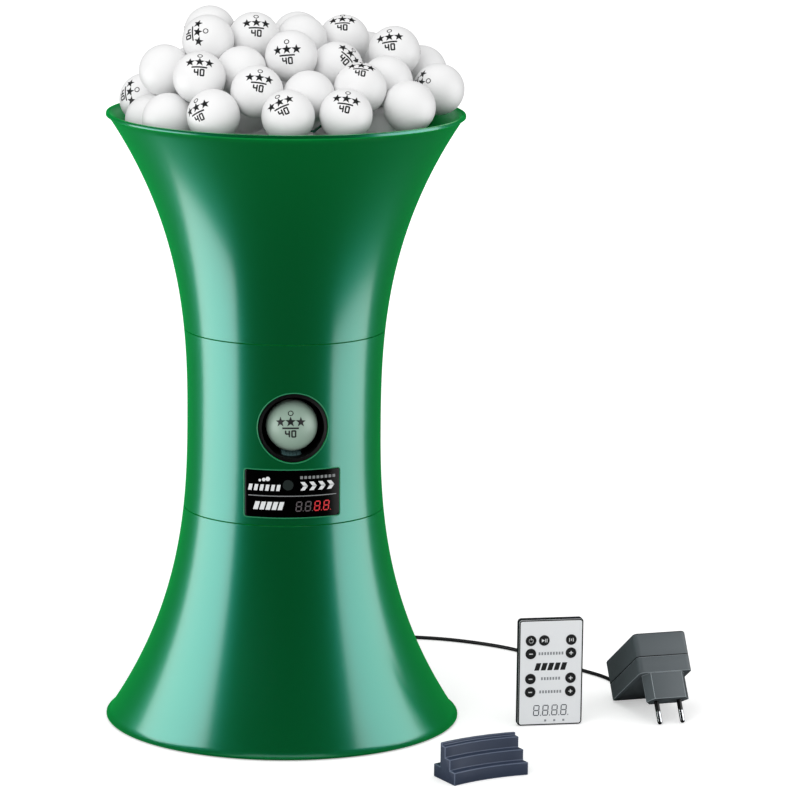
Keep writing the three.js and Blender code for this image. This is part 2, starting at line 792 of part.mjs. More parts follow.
function makeJack() {
  const housing = block(jackWidth, jackShoulder - jackBack, jackWidth)
    .translate(0, (jackShoulder + jackBack) / 2, jackHeight);
  const nose = bar(jackNoseRadius, jackShoulder - overrun / 5, jackFace, 16);
  const bore = bar(jackBoreRadius, jackFace - plugBarrelLength - seatGap, jackFace + overrun, 16);
  const lay = (geometry) => geometry.rotateX(-pi / 2).translate(0, 0, jackHeight);
  return cut(join(housing, lay(nose)), lay(bore));
}

function makePlug() {
  const start = jackFace + seatGap;
  const grip = start + plugGripLength;
  const end = grip + plugReliefLength;
  const cordRadius = cordDiameter / 2;
  return revolve([
    [0, start - plugBarrelLength], [plugBarrelRadius, start - plugBarrelLength],
    [plugBarrelRadius, start], [plugGripRadius * 0.92, start], [plugGripRadius, start + plugGripRadius / 4],
    [plugGripRadius, grip - plugGripRadius], [plugGripRadius * 0.7, grip],
    [cordRadius * 1.25, end], [0, end],
  ], 14).rotateX(-pi / 2).translate(0, 0, jackHeight);
}

// Stand

function makeStand() {
  const innerSteps = 4;
  const high = lowerSeam;
  const spigot = spigotRadius(lowerBore);
  const inside = (height, inset = 0) => [shellRadius(height) - wall - inset, height];
  const ledgeLow = coverHeight + coverThickness + seatGap;
  const outer = shellCurve(hemHeight, high, 7, 0, 1 / 0.8).reverse();
  const inner = [];
  for (let i = 1; i <= innerSteps; i += 1) {
    inner.push(inside(ledgeLow + wall + (high - ledgeLow - 2 * wall) * (i / innerSteps) ** 1.2));
  }
  const profile = [
    ...outer,
    [rimRadius, hemHeight],
    [rimRadius, floorGap],
    [rimRadius - wall, floorGap],
    [rimRadius - 2 * wall, ledgeLow],
    [rimRadius - 2 * wall - coverLedgeWidth, ledgeLow],
    [rimRadius - 2 * wall - coverLedgeWidth, ledgeLow + wall],
    ...inner,
    [spigot - spigotWall, high],
    [spigot - spigotWall, high + spigotHeight],
    [spigot, high + spigotHeight],
    [spigot, high],
  ];
  const lugs = lugRing(
    spigot - spigotWall / 2, spigot + lugDepth, high + lugTurnHeight + seatGap, high + spigotHeight,
  );
  return join(revolve(profile), ...lugs);
}

function footPlaces() {
  const places = [];
  for (let i = 0; i < footCount; i += 1) {
    const angle = pi / 4 + 2 * pi * i / footCount;
    places.push([footRing * Math.cos(angle), footRing * Math.sin(angle)]);
  }
  return places;
}

function makeCover() {
  const radius = rimRadius - 2 * wall - 2 * seatGap;
  const top = coverHeight + coverThickness;
  const disc = revolve([
    [0, coverHeight], [radius - wall / 2, coverHeight], [radius, coverHeight + wall / 2],
    [radius, top], [0, top],
  ]);
  const recesses = footPlaces().map(([x, y]) => bar(
    footRadius + seatGap, coverHeight - overrun, coverHeight + footRecess, 12,
  ).translate(x, y, 0));
  return cut(disc, ...recesses);
}

function makeFoot([x, y]) {
  const top = coverHeight + footRecess - seatGap;
  return revolve([
    [0, 0], [footRadius * 0.85, 0], [footRadius, top / 3], [footRadius, top], [0, top],
  ], 12).translate(x, y, 0);
}

// Remote control, made face up and then stood on its lower edge

const keyPlaces = {
  key_power: [keyColumnEdge, keyRowTop],
  key_play: [keyPlayColumn, keyRowTop],
  key_mode: [remoteWidth - keyColumnEdge, keyRowTop],
  key_frequency_down: [keyColumnEdge, keyRowSecond],
  key_frequency_up: [remoteWidth - keyColumnEdge, keyRowSecond],
  key_topspin_down: [keyColumnEdge, keyRowThird],
  key_topspin_up: [remoteWidth - keyColumnEdge, keyRowThird],
  key_backspin_down: [keyColumnEdge, keyRowFourth],
  key_backspin_up: [remoteWidth - keyColumnEdge, keyRowFourth],
};
const keyLow = remoteBoardBottom + remoteBoardThickness + keyTravel + seatGap;
const trayTop = trayBottom + trayWidth;
const boardRoomLow = trayTop + remoteRim;
const boardRoomHigh = remoteHeight - remoteRim;

function keySpot([fromLeft, fromTop]) {
  return [fromLeft - remoteWidth / 2, remoteHeight - fromTop];
}

function makeRemoteBack() {
  const shell = slab(remoteWidth, remoteHeight, remoteCorner, remoteBackThickness)
    .translate(0, remoteHeight / 2, 0);
  const room = block(remoteWidth - 2 * remoteRim, boardRoomHigh - boardRoomLow, remoteBackThickness)
    .translate(0, (boardRoomHigh + boardRoomLow) / 2, remoteBoardBottom - seatGap + remoteBackThickness / 2);
  const trayRoom = block(trayLength + seatGap + overrun, trayWidth + 2 * seatGap, trayThickness + 2 * seatGap)
    .translate(
      remoteWidth / 2 + (overrun - trayLength - seatGap) / 2,
      trayBottom + trayWidth / 2,
      remoteFloor + trayThickness / 2,
    );
  const eye = block(windowWidth + 2 * seatGap, windowHeight + overrun, remoteBackThickness)
    .translate(0, remoteHeight - (windowHeight - overrun) / 2, remoteBoardBottom + remoteBackThickness / 2);
  const keyRooms = Object.values(keyPlaces).map(keySpot).map(([x, y]) => bar(
    keyRadius + keyClearance, keyLow - keyTravel - seatGap / 2, remoteThickness, keySides,
  ).translate(x, y, 0));
  return cut(shell, room, trayRoom, eye, ...keyRooms);
}

const faceBottom = remoteBackThickness + seatGap;

function makeRemoteFace() {
  const face = slab(remoteWidth - 2 * faceInset, remoteHeight - 2 * faceInset, remoteCorner - faceInset,
    remoteThickness - faceBottom).translate(0, remoteHeight / 2, faceBottom);
  const holes = Object.values(keyPlaces).map(keySpot).map(([x, y]) => bar(
    keyRadius + keyClearance, remoteBackThickness - overrun, remoteThickness + overrun, keySides,
  ).translate(x, y, 0));
  return cut(face, ...holes);
}

function makeRemoteBoard() {
  return block(remoteWidth - 2 * remoteRim - 2 * seatGap, boardRoomHigh - boardRoomLow - 2 * seatGap,
    remoteBoardThickness)
    .translate(0, (boardRoomHigh + boardRoomLow) / 2, remoteBoardBottom + remoteBoardThickness / 2);
}

function makeKey(place) {
  const [x, y] = keySpot(place);
  const high = remoteThickness + keyProud;
  return revolve([
    [0, keyLow], [keyRadius, keyLow], [keyRadius, high - keyProud / 2],
    [keyRadius - keyProud / 2, high], [0, high],
  ], keySides).translate(x, y, 0);
}

function makeTray() {
  const tray = block(trayLength, trayWidth, trayThickness)
    .translate(remoteWidth / 2 - trayLength / 2, trayBottom + trayWidth / 2, remoteFloor + trayThickness / 2);
  return cut(tray, cellRoom(cellRadius + seatGap, trayThickness));
}

const cellX = remoteWidth / 2 - trayLength + cellRadius + 1.5 * remoteFloor;
const cellLow = remoteFloor + trayThickness - cellThickness;

function cellRoom(radius, height) {
  return bar(radius, cellLow - seatGap, cellLow + height, 20).translate(cellX, trayBottom + trayWidth / 2, 0);
}

function makeCell() {
  return bar(cellRadius, cellLow, cellLow + cellThickness, 20)
    .translate(cellX, trayBottom + trayWidth / 2, 0);
}

function makeEye() {
  const low = remoteBoardBottom + seatGap;
  return block(windowWidth, windowHeight - seatGap, remoteBackThickness - low)
    .translate(0, remoteHeight - windowHeight / 2 + seatGap / 2, (remoteBackThickness + low) / 2);
}

// Wedge: a stepped section swept round the stand's rim, cut off square at both ends

function makeWedge() {
  const front = rimRadius + seatGap;
  const profile = [[front, floorLift]];
  for (let i = 0; i < stepCount; i += 1) {
    profile.push([front + i * stepDepth, (i + 1) * stepHeight]);
    profile.push([front + (i + 1) * stepDepth - (i === stepCount - 1 ? lipDepth : 0), (i + 1) * stepHeight]);
  }
  const back = front + stepCount * stepDepth;
  const high = stepCount * stepHeight + lipHeight;
  profile.push([back - lipDepth, high], [back, high], [back, stepHeight]);
  profile.push([back + heelDepth, stepHeight], [back + heelDepth, floorLift]);
  const ring = revolve(profile, 80);
  const deep = 2 * rimRadius;
  const ends = block(wedgeChord, deep, deep).translate(0, rimRadius + deep / 2 - rimRadius / 4, 0);
  return common(ring, ends).translate(0, -Math.sqrt(front ** 2 - (wedgeChord / 2) ** 2), 0);
}

// Mains adapter, made with its wall side down and then tipped on to its pins and its far edge

const pinDrop = plugBlockHeight + pinLength;
const restArm = adapterLength - pinInset;
const restTilt = Math.atan2(pinDrop - pinRadius, restArm)
  + Math.asin(pinRadius / Math.hypot(pinDrop - pinRadius, restArm));

function adapterShape(inset) {
  return roundedShape(adapterWidth - 2 * inset, adapterLength - 2 * inset, adapterCorner - inset);
}

function makeAdapterCover() {
  const depth = adapterThickness - adapterParting - seatGap - adapterEdge;
  const body = new THREE.ExtrudeGeometry(adapterShape(adapterEdge), {
    depth,
    bevelEnabled: true,
    bevelThickness: adapterEdge,
    bevelSize: adapterEdge,
    bevelSegments: 2,
    curveSegments: 3,
  }).translate(0, adapterLength / 2, adapterParting + seatGap);
  const trimmed = block(2 * adapterLength, 2 * adapterLength, adapterThickness)
    .translate(0, adapterLength / 2, adapterParting + seatGap - adapterThickness / 2);
  const relief = bar(reliefRadius + seatGap, adapterLength / 2, adapterLength + overrun, 14)
    .rotateX(-pi / 2).translate(0, 0, adapterParting);
  return cut(body, trimmed, relief);
}

function makeAdapterBase() {
  const body = new THREE.ExtrudeGeometry(adapterShape(0), {
    depth: adapterParting,
    bevelEnabled: false,
    curveSegments: 3,
  }).translate(0, adapterLength / 2, 0);
  const outline = new THREE.Shape();
  const x = plugBlockWidth / 2;
  const y = plugBlockLength / 2;
  outline.moveTo(x - plugBlockChamfer, -y);
  outline.lineTo(x, 0);
  outline.lineTo(x - plugBlockChamfer, y);
  outline.lineTo(-x + plugBlockChamfer, y);
  outline.lineTo(-x, 0);
  outline.lineTo(-x + plugBlockChamfer, -y);
  const plug = new THREE.ExtrudeGeometry(outline, {
    depth: plugBlockHeight + adapterEdge,
    bevelEnabled: false,
  }).translate(0, pinInset, -plugBlockHeight);
  const relief = bar(reliefRadius + seatGap, adapterLength / 2, adapterLength + overrun, 14)
    .rotateX(-pi / 2).translate(0, 0, adapterParting);
  const sockets = [1, -1].map((side) => bar(
    pinRadius + seatGap, -plugBlockHeight - overrun, -plugBlockHeight + pinRadius, 12,
  ).translate(side * pinSpacing / 2, pinInset, 0));
  return cut(join(body, plug), relief, ...sockets);
}

function makePin(side) {
  const low = -pinDrop;
  const high = -plugBlockHeight + pinRadius - seatGap;
  return revolve([
    [0, low], [pinRadius * 0.5, low + pinRadius * 0.134], [pinRadius * 0.866, low + pinRadius * 0.5],
    [pinRadius, low + pinRadius], [pinRadius, high], [0, high],
  ], 12).translate(side * pinSpacing / 2, pinInset, 0);
}

function makeRelief() {
  const inside = adapterLength / 2 + seatGap;
  const end = adapterLength + reliefLength;
  return revolve([
    [0, inside], [reliefRadius, inside], [reliefRadius, adapterLength], [cordDiameter * 0.75, end], [0, end],
  ], 14).rotateX(-pi / 2).translate(0, 0, adapterParting);
}

// Lead: routes lie in the robot's own frame, with the coil on the floor behind the stand

const cordRadius = cordDiameter / 2;
const cordFloor = cordRadius + floorLift;
const coilLift = cordFloor + coilPitch;

function sweep(points) {
  const circle = new THREE.Shape();
  for (let i = 0; i < cordSides; i += 1) {
    const angle = 2 * pi * (i + 0.5) / cordSides;
    const x = cordRadius * Math.cos(angle);
    const y = cordRadius * Math.sin(angle);
    if (i === 0) circle.moveTo(x, y);
    else circle.lineTo(x, y);
  }
  const route = points.map(([x, y, z]) => new THREE.Vector3(x, y, z));
  const path = new THREE.CatmullRomCurve3(route, false, 'centripetal');
  const length = path.getLength();
  const count = Math.min(80, Math.ceil(length / (cordStep * cordDiameter)));
  path.arcLengthDivisions = 1200;
  path.updateArcLengths();
  return { geometry: new THREE.ExtrudeGeometry(circle, { steps: count, extrudePath: path }), length };
}

// Two layers: spiral in below, climb a layer in the half turn at the middle, spiral out above
function coilPoint(turn) {
  const half = coilTurns / 2;
  const spread = half * coilPitch / 2;
  const climb = 0.25;
  const fromMiddle = Math.abs(turn - half);
  const blend = Math.min(1, Math.max(0, (turn - half + climb) / (2 * climb)));
  const radius = coilMiddleRadius - spread + fromMiddle * coilPitch;
  const height = cordFloor + coilPitch * (3 * blend ** 2 - 2 * blend ** 3);
  const angle = 2 * pi * turn;
  return [coilPlaceX + radius * Math.sin(angle), coilPlaceY - radius * Math.cos(angle), height];
}

function makeCoil() {
  const centre = [];
  const count = coilTurns * coilStepsPerTurn;
  for (let i = 0; i <= count; i += 1) centre.push(coilPoint(i / coilStepsPerTurn));
  const [startX, startY, startZ] = centre[0];
  const [endX, endY, endZ] = centre[count];
  centre.unshift([startX - cordDiameter, startY, startZ]);
  centre.push([endX + cordDiameter, endY, endZ]);
  reportCoilGap(centre);
  return tubeOf(centre);
}

function tubeOf(centre) {
  const places = [];
  const faces = [];
  centre.forEach(([x, y, z], i) => {
    const before = centre[Math.max(0, i - 1)];
    const after = centre[Math.min(centre.length - 1, i + 1)];
    const along = [after[0] - before[0], after[1] - before[1]];
    const long = Math.hypot(along[0], along[1]);
    const side = [along[1] / long, -along[0] / long];
    for (let k = 0; k < coilSides; k += 1) {
      const angle = 2 * pi * k / coilSides;
      const out = cordRadius * Math.cos(angle);
      places.push(x + side[0] * out, y + side[1] * out, z + cordRadius * Math.sin(angle));
    }
    if (i === 0) return;
    for (let k = 0; k < coilSides; k += 1) {
      const next = (k + 1) % coilSides;
      const low = (i - 1) * coilSides;
      const high = i * coilSides;
      faces.push(low + k, low + next, high + next, low + k, high + next, high + k);
    }
  });
  const last = (centre.length - 1) * coilSides;
  for (let k = 1; k < coilSides - 1; k += 1) faces.push(0, k + 1, k, last, last + k, last + k + 1);
  const geometry = new THREE.BufferGeometry();
  geometry.setAttribute('position', new THREE.BufferAttribute(new Float32Array(places), 3));
  geometry.setIndex(faces);
  return geometry;
}

function reportCoilGap(centre) {
  const apart = coilStepsPerTurn / 2;
  let least = Infinity;
  let length = 0;
  for (let i = 0; i < centre.length; i += 1) {
    if (i) length += Math.hypot(...centre[i].map((value, k) => value - centre[i - 1][k]));
    for (let j = i + apart; j < centre.length; j += 1) {
      least = Math.min(least, Math.hypot(...centre[i].map((value, k) => value - centre[j][k])));
    }
  }
  const gap = (least - cordDiameter).toFixed(2);
  console.log(`coil: ${coilTurns} loops, ${length.toFixed(0)} mm long, least gap to itself ${gap} mm`);
}

// From the plug: out level, over and down clear of the stand, then across the floor to the coil
function dropRoute() {
  const out = jackFace + seatGap + plugGripLength + plugReliefLength + seatGap;
  const [startX, startY] = coilPoint(0);
  const endX = startX - cordDiameter - seatGap;
  return [
    [0, out, jackHeight], [0, out + 6, jackHeight], [0, 125, 188], [0, 135, 181], [0, 142, 168],
    [0, 145.5, 148], [0, 147, 120], [0, 148, 90], [0, 149, 60], [0, 150.5, 34], [-2, 154, 16],
    [-7, 161, 6], [-16, 169, 2.6], [-32, 178, cordFloor], [-50, 184, cordFloor],
    [-62, 191, cordFloor], [-64, 199, cordFloor], [-58, startY - 0.8, cordFloor],
    [endX - 6, startY, cordFloor], [endX, startY, cordFloor],
  ];
}

// From the coil: down a layer, out behind the stand and across the floor to the adapter
function runRoute() {
  const [endX, endY] = coilPoint(coilTurns);
  const startX = endX + cordDiameter + seatGap;
  const [tipX, tipY, tipZ, alongX, alongY, alongZ] = reliefTip();
  return [
    [startX, endY, coilLift], [startX + 5, endY, coilLift - 0.3], [startX + 18, endY + 2, cordFloor + 0.6],
    [startX + 36, endY + 9, cordFloor], [30, 224, cordFloor], [62, 231, cordFloor], [98, 233, cordFloor],
    [134.8, 227.6, cordFloor], [171.4, 212.9, cordFloor], [212, 181.1, cordFloor], [238.5, 135.9, cordFloor],
    [259, 108, cordFloor], [274, 84, cordFloor],
    [tipX + alongX * 24, tipY + alongY * 24, cordFloor + 0.1],
    [tipX + alongX * 15, tipY + alongY * 15, cordFloor + 0.5],
    [tipX + alongX * 9, tipY + alongY * 9, cordFloor + 1.7],
    [tipX + alongX * 4, tipY + alongY * 4, tipZ + alongZ * 4],
    [tipX, tipY, tipZ],
  ];
}

// End of the adapter's strain relief, and the way that it points
function reliefTip() {
  const tilt = restTilt;
  const reach = adapterLength + reliefLength + seatGap;
  const offsetY = -(pinInset * Math.cos(tilt) - pinDropRest() * Math.sin(tilt));
  const offsetZ = adapterLift();
  const localY = reach * Math.cos(tilt) + adapterParting * Math.sin(tilt) + offsetY;
  const z = -reach * Math.sin(tilt) + adapterParting * Math.cos(tilt) + offsetZ;
  const x = adapterPlaceX - localY * Math.sin(adapterYaw);
  const y = adapterPlaceY + localY * Math.cos(adapterYaw);
  const along = Math.cos(tilt);
  return [x, y, z, -along * Math.sin(adapterYaw), along * Math.cos(adapterYaw), -Math.sin(tilt)];
}

function pinDropRest() {
  return pinDrop - pinRadius;
}

function adapterLift() {
  return adapterLength * Math.sin(restTilt) + 2 * floorLift;
}

// Assembly

const set = new THREE.Group();
const robot = new THREE.Group();
robot.position.set(axisPlaceX, axisPlaceY, 0);
set.add(robot);

robot.add(piece('bowl', makeBowl(), 'greenPlastic'));
robot.add(piece('ball_heap', makeHeap(), 'whiteBall'));
robot.add(piece('head_shell', makeHeadShell(), 'greenPlastic'));
robot.add(piece('stand_shell', makeStand(), 'greenPlastic'));
robot.add(piece('stand_cover', makeCover(), 'darkPlastic'));
footPlaces().forEach((place, i) => robot.add(piece(`foot_${i + 1}`, makeFoot(place), 'blackRubber')));

robot.add(piece('feed_deck', makeDeck(), 'darkPlastic'));
screwAngles().forEach((angle, i) => robot.add(piece(`deck_screw_${i + 1}`, makeScrew(angle), 'steel')));
robot.add(piece('feed_rotor', makeRotor(), 'greyPlastic'));
robot.add(piece('feed_gearbox', makeGearbox(), 'blackPlastic'));
robot.add(piece('feed_motor', makeFeedMotor(), 'steel'));
robot.add(piece('ball_chute', makeChute(), 'darkPlastic'));
robot.add(piece('launch_frame', makeLaunchFrame(), 'blackPlastic'));

for (const [side, word, rubber] of [[1, 'upper', 'redRubber'], [-1, 'lower', 'tealRubber']]) {
  const wheel = new THREE.Group();
  wheel.position.set(0, -wheelSetback, barrelHeight + side * wheelDrop);
  wheel.add(piece(`${word}_tyre`, makeTyre(), rubber));
  wheel.add(piece(`${word}_hub`, makeHub(), 'greyPlastic'));
  wheel.add(piece(`${word}_motor`, makeWheelMotor(), 'steel'));
  robot.add(wheel);
}

const heldBall = piece('muzzle_ball', new THREE.IcosahedronGeometry(ballRadius, 2), 'whiteBall');
heldBall.position.set(0, -ballSetback, barrelHeight);
robot.add(heldBall);

robot.add(piece('display_panel', panelSlice(0, panelThickness, panelProud), 'blackGloss'));
robot.add(piece('display_digits', makeDigits(), 'blackPlastic'));
robot.add(piece('infrared_receiver', makeReceiver(), 'blackGloss'));
robot.add(piece('display_board', makeDisplayBoard(), 'boardGreen'));
robot.add(piece('chassis', makeChassis(), 'darkPlastic'));
robot.add(piece('control_board', makeControlBoard(), 'boardGreen'));
robot.add(piece('power_jack', makeJack(), 'blackPlastic'));
robot.add(piece('power_plug', makePlug(), 'blackRubber'));

const drop = sweep(dropRoute());
const run = sweep(runRoute());
robot.add(piece('lead_drop', drop.geometry, 'cordBlack'));
robot.add(piece('lead_coil', makeCoil(), 'cordBlack'));
robot.add(piece('lead_run', run.geometry, 'cordBlack'));
console.log(`lead: ${drop.length.toFixed(0)} mm to the coil, ${run.length.toFixed(0)} mm from it`);

const wedge = piece('tilt_wedge', makeWedge(), 'slateRubber');
wedge.position.set(wedgePlaceX, wedgePlaceY, 0);
wedge.rotation.z = wedgeYaw;
robot.add(wedge);

const adapterSpot = new THREE.Group();
adapterSpot.position.set(adapterPlaceX, adapterPlaceY, 0);
adapterSpot.rotation.z = adapterYaw;
const adapter = new THREE.Group();
adapter.rotation.x = -restTilt;
adapter.position.set(
  0,
  -(pinInset * Math.cos(restTilt) - pinDropRest() * Math.sin(restTilt)),
  adapterLift(),
);
adapter.add(piece('adapter_cover', makeAdapterCover(), 'darkPlastic'));
adapter.add(piece('adapter_base', makeAdapterBase(), 'darkPlastic'));
adapter.add(piece('adapter_pin_1', makePin(-1), 'steel'));
adapter.add(piece('adapter_pin_2', makePin(1), 'steel'));
adapter.add(piece('adapter_relief', makeRelief(), 'blackRubber'));
adapterSpot.add(adapter);
robot.add(adapterSpot);

const remoteSpot = new THREE.Group();
remoteSpot.position.set(remotePlaceX, remotePlaceY, floorLift);
remoteSpot.rotation.z = remoteYaw;
const remote = new THREE.Group();
remote.rotation.x = pi / 2;
remote.position.y = remoteThickness;
remote.add(piece('remote_back', makeRemoteBack(), 'blackPlastic'));
remote.add(piece('remote_face', makeRemoteFace(), 'silverPlastic'));
remote.add(piece('remote_board', makeRemoteBoard(), 'boardGreen'));
remote.add(piece('remote_eye', makeEye(), 'blackGloss'));
remote.add(piece('battery_tray', makeTray(), 'blackPlastic'));
remote.add(piece('coin_cell', makeCell(), 'steel'));
for (const [name, place] of Object.entries(keyPlaces)) remote.add(piece(name, makeKey(place), 'blackRubber'));
remoteSpot.add(remote);
robot.add(remoteSpot);

export default set;
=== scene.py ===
# %% [markdown]
# A table tennis robot stands on a pale floor: a green trumpet full of balls, a round muzzle and a small
# display in its waist, a remote control, a mains adapter on its lead and a rubber wedge. The CAD frame
# brings every solid at its real place. This lesson dresses it: smooth turned shells, printed marks, a heap
# of balls from Geometry Nodes and plastics with grain. All lengths are metres, written as millimetres
# times MM where a maker would read them off a drawing.

import json
import math
import random

import bmesh
import bpy
from mathutils import Matrix, Vector

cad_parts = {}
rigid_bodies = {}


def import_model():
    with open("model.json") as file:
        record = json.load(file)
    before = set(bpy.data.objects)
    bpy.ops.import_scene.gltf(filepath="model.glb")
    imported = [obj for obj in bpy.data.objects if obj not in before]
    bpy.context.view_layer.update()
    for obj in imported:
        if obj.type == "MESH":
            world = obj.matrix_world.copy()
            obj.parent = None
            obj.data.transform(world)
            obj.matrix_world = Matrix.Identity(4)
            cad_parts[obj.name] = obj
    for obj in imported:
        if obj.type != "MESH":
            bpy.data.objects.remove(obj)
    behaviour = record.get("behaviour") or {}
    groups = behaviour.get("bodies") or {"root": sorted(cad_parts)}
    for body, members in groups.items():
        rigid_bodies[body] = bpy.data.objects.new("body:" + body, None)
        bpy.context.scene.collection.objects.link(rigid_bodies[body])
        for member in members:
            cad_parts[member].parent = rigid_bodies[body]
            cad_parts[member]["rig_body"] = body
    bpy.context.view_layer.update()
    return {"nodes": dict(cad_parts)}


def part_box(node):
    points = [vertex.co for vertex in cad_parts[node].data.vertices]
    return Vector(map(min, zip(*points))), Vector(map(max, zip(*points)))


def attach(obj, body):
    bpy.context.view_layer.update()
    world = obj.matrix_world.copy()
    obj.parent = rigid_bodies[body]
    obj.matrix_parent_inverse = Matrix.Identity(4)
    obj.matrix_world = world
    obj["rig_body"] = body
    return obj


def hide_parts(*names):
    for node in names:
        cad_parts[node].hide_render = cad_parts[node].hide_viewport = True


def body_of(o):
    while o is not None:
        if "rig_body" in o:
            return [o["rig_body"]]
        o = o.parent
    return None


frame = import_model()
MM = 0.001
bowl_low, bowl_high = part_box("bowl")
axis_x = (bowl_low.x + bowl_high.x) / 2
axis_y = (bowl_low.y + bowl_high.y) / 2
rim_height = bowl_high.z
rim_radius = (bowl_high.x - bowl_low.x) / 2
print("nodes", len(frame["nodes"]), "rim", round(rim_height, 4), "radius", round(rim_radius, 4))

# %% [markdown]
# The camera comes first, because it decides which shapes have to match. A long lens far away gives the
# photograph's flat perspective. Its place and tilt were worked out from the rim, the hem, both seams and
# the remote's corners, so the picture can be laid over the photograph.

# %% Camera
scene = bpy.context.scene
photo_size = 800
focal_pixels = 4275.8
sensor = 36
camera_place = Vector((-0.361257, -3.229395, 0.900080))
look = Vector((0.1209362, 0.973694, -0.1931177)).normalized()
camera_roll = math.radians(0.7013)


def add_object(name, data):
    made = bpy.data.objects.new(name, data)
    scene.collection.objects.link(made)
    return made


def camera_axes():
    level = look.cross(Vector((0, 0, 1))).normalized()
    upright = level.cross(look)
    right = level * math.cos(camera_roll) + upright * math.sin(camera_roll)
    up = upright * math.cos(camera_roll) - level * math.sin(camera_roll)
    return right, up


view_right, view_up = camera_axes()
camera_data = bpy.data.cameras.new("camera")
camera_data.sensor_width = sensor
camera_data.lens = focal_pixels / photo_size * sensor
camera_data.clip_start, camera_data.clip_end = 0.1, 60
scene.camera = add_object("camera", camera_data)
turn = Matrix((view_right, view_up, -look)).transposed().to_4x4()
scene.camera.matrix_world = Matrix.Translation(camera_place) @ turn
print("lens", round(camera_data.lens, 1), "mm")

# %% [markdown]
# World, floor and every finish are graphs of shader nodes. Written out, a graph takes a line for each
# value and each link. These helpers make a node in one call: an input that is given a socket gets a
# link, and any other input gets its value.

# %% Node helpers
def feed(tree, node, inputs):
    for label, value in inputs.items():
        if isinstance(value, bpy.types.NodeSocket):
            tree.links.new(value, node.inputs[label])
        else:
            node.inputs[label].default_value = value


def add_node(tree, kind, inputs=None, **settings):
    node = tree.nodes.new(kind)
    for label, value in settings.items():
        setattr(node, label, value)
    feed(tree, node, inputs or {})
    return node


def maths(tree, operation, *values):
    return add_node(tree, "ShaderNodeMath", dict(enumerate(values)), operation=operation).outputs[0]


print("helpers", [helper.__name__ for helper in (feed, add_node, maths)])

# %% [markdown]
# A studio for glossy plastic is mostly about what the plastic mirrors. Two softboxes stand close by, left
# and right of the robot, and give its broad pale bands; only the gloss sees them. The even light comes
# from a large box overhead and a fill box in front, which the gloss doesn't mirror. The world is white
# where the camera sees it, softer where it lights, and dark where gloss mirrors it.

# %% World and lamps
scene.view_settings.view_transform = "Standard"
white = (1, 1, 1, 1)
world_light, world_mirrored, world_seen = 0.8, 0.003, 1.0
side_lamps = {
    "softbox_left": {"size": (0.54, 0.5), "distance": 0.55, "height": 0.25, "watts": 3.1, "degrees": 185},
    "softbox_right": {"size": (0.74, 0.74), "distance": 0.78, "height": 0.37, "watts": 5, "degrees": -15},
}
top_lamp = {"size": (1.4, 1.4), "watts": 5}
front_lamp = {"size": (1.5, 1.1), "watts": 18}
target_height = 0.4
top_offset = Vector((0, -0.2, 2.1))
front_place = Vector((-1.2, -2.0, 1.3))


def make_world():
    world = bpy.data.worlds.new("studio")
    world.use_nodes = True
    tree = world.node_tree
    tree.nodes.clear()
    ray = add_node(tree, "ShaderNodeLightPath").outputs
    seen = maths(tree, "MAXIMUM", ray["Is Camera Ray"], ray["Is Transmission Ray"])
    strength = add_node(tree, "ShaderNodeMapRange",
                        {"Value": seen, "To Min": world_light, "To Max": world_seen}).outputs[0]
    dimmed = add_node(tree, "ShaderNodeMix",
                      {"Factor": ray["Is Glossy Ray"], "A": strength, "B": world_mirrored})
    background = add_node(tree, "ShaderNodeBackground",
                          {"Color": white, "Strength": dimmed.outputs["Result"]})
    add_node(tree, "ShaderNodeOutputWorld", {"Surface": background.outputs[0]})
    scene.world = world


def softbox(name, place, target, size, watts):
    data = bpy.data.lights.new(name, "AREA")
    data.shape = "RECTANGLE"
    data.size, data.size_y = size
    data.energy = watts
    lamp = add_object(name, data)
    lamp.location = place
    lamp.rotation_euler = (target - place).to_track_quat("-Z", "Y").to_euler()
    return lamp


make_world()
for name, lamp in side_lamps.items():
    angle = math.radians(lamp["degrees"])
    target = Vector((axis_x, axis_y, lamp["height"]))
    place = target + Vector((math.cos(angle), math.sin(angle), 0)) * lamp["distance"]
    softbox(name, place, target, lamp["size"], lamp["watts"]).visible_diffuse = False
middle = Vector((axis_x, axis_y, target_height))
softbox("softbox_top", middle + top_offset, middle, **top_lamp)
softbox("softbox_front", front_place, middle, **front_lamp).visible_glossy = False

# %% [markdown]
# The floor is a white sweep of paper. Its own colour and a little extra for the camera's rays make it
# white, and it still takes the soft shadows under the stand and the small parts. The extra grows with the
# distance, where the lamps no longer reach. In the gloss of the shell the paper is kept dark, as black
# cards round the robot would keep it, so that the green stays deep.

# %% Floor
floor_half = 9
floor_colour, floor_mirrored = (0.86, 0.86, 0.86, 1), (0.01, 0.01, 0.01, 1)
floor_near, floor_far = 0.5, 3.0
floor_glow_near, floor_glow_far = 0.38, 0.66


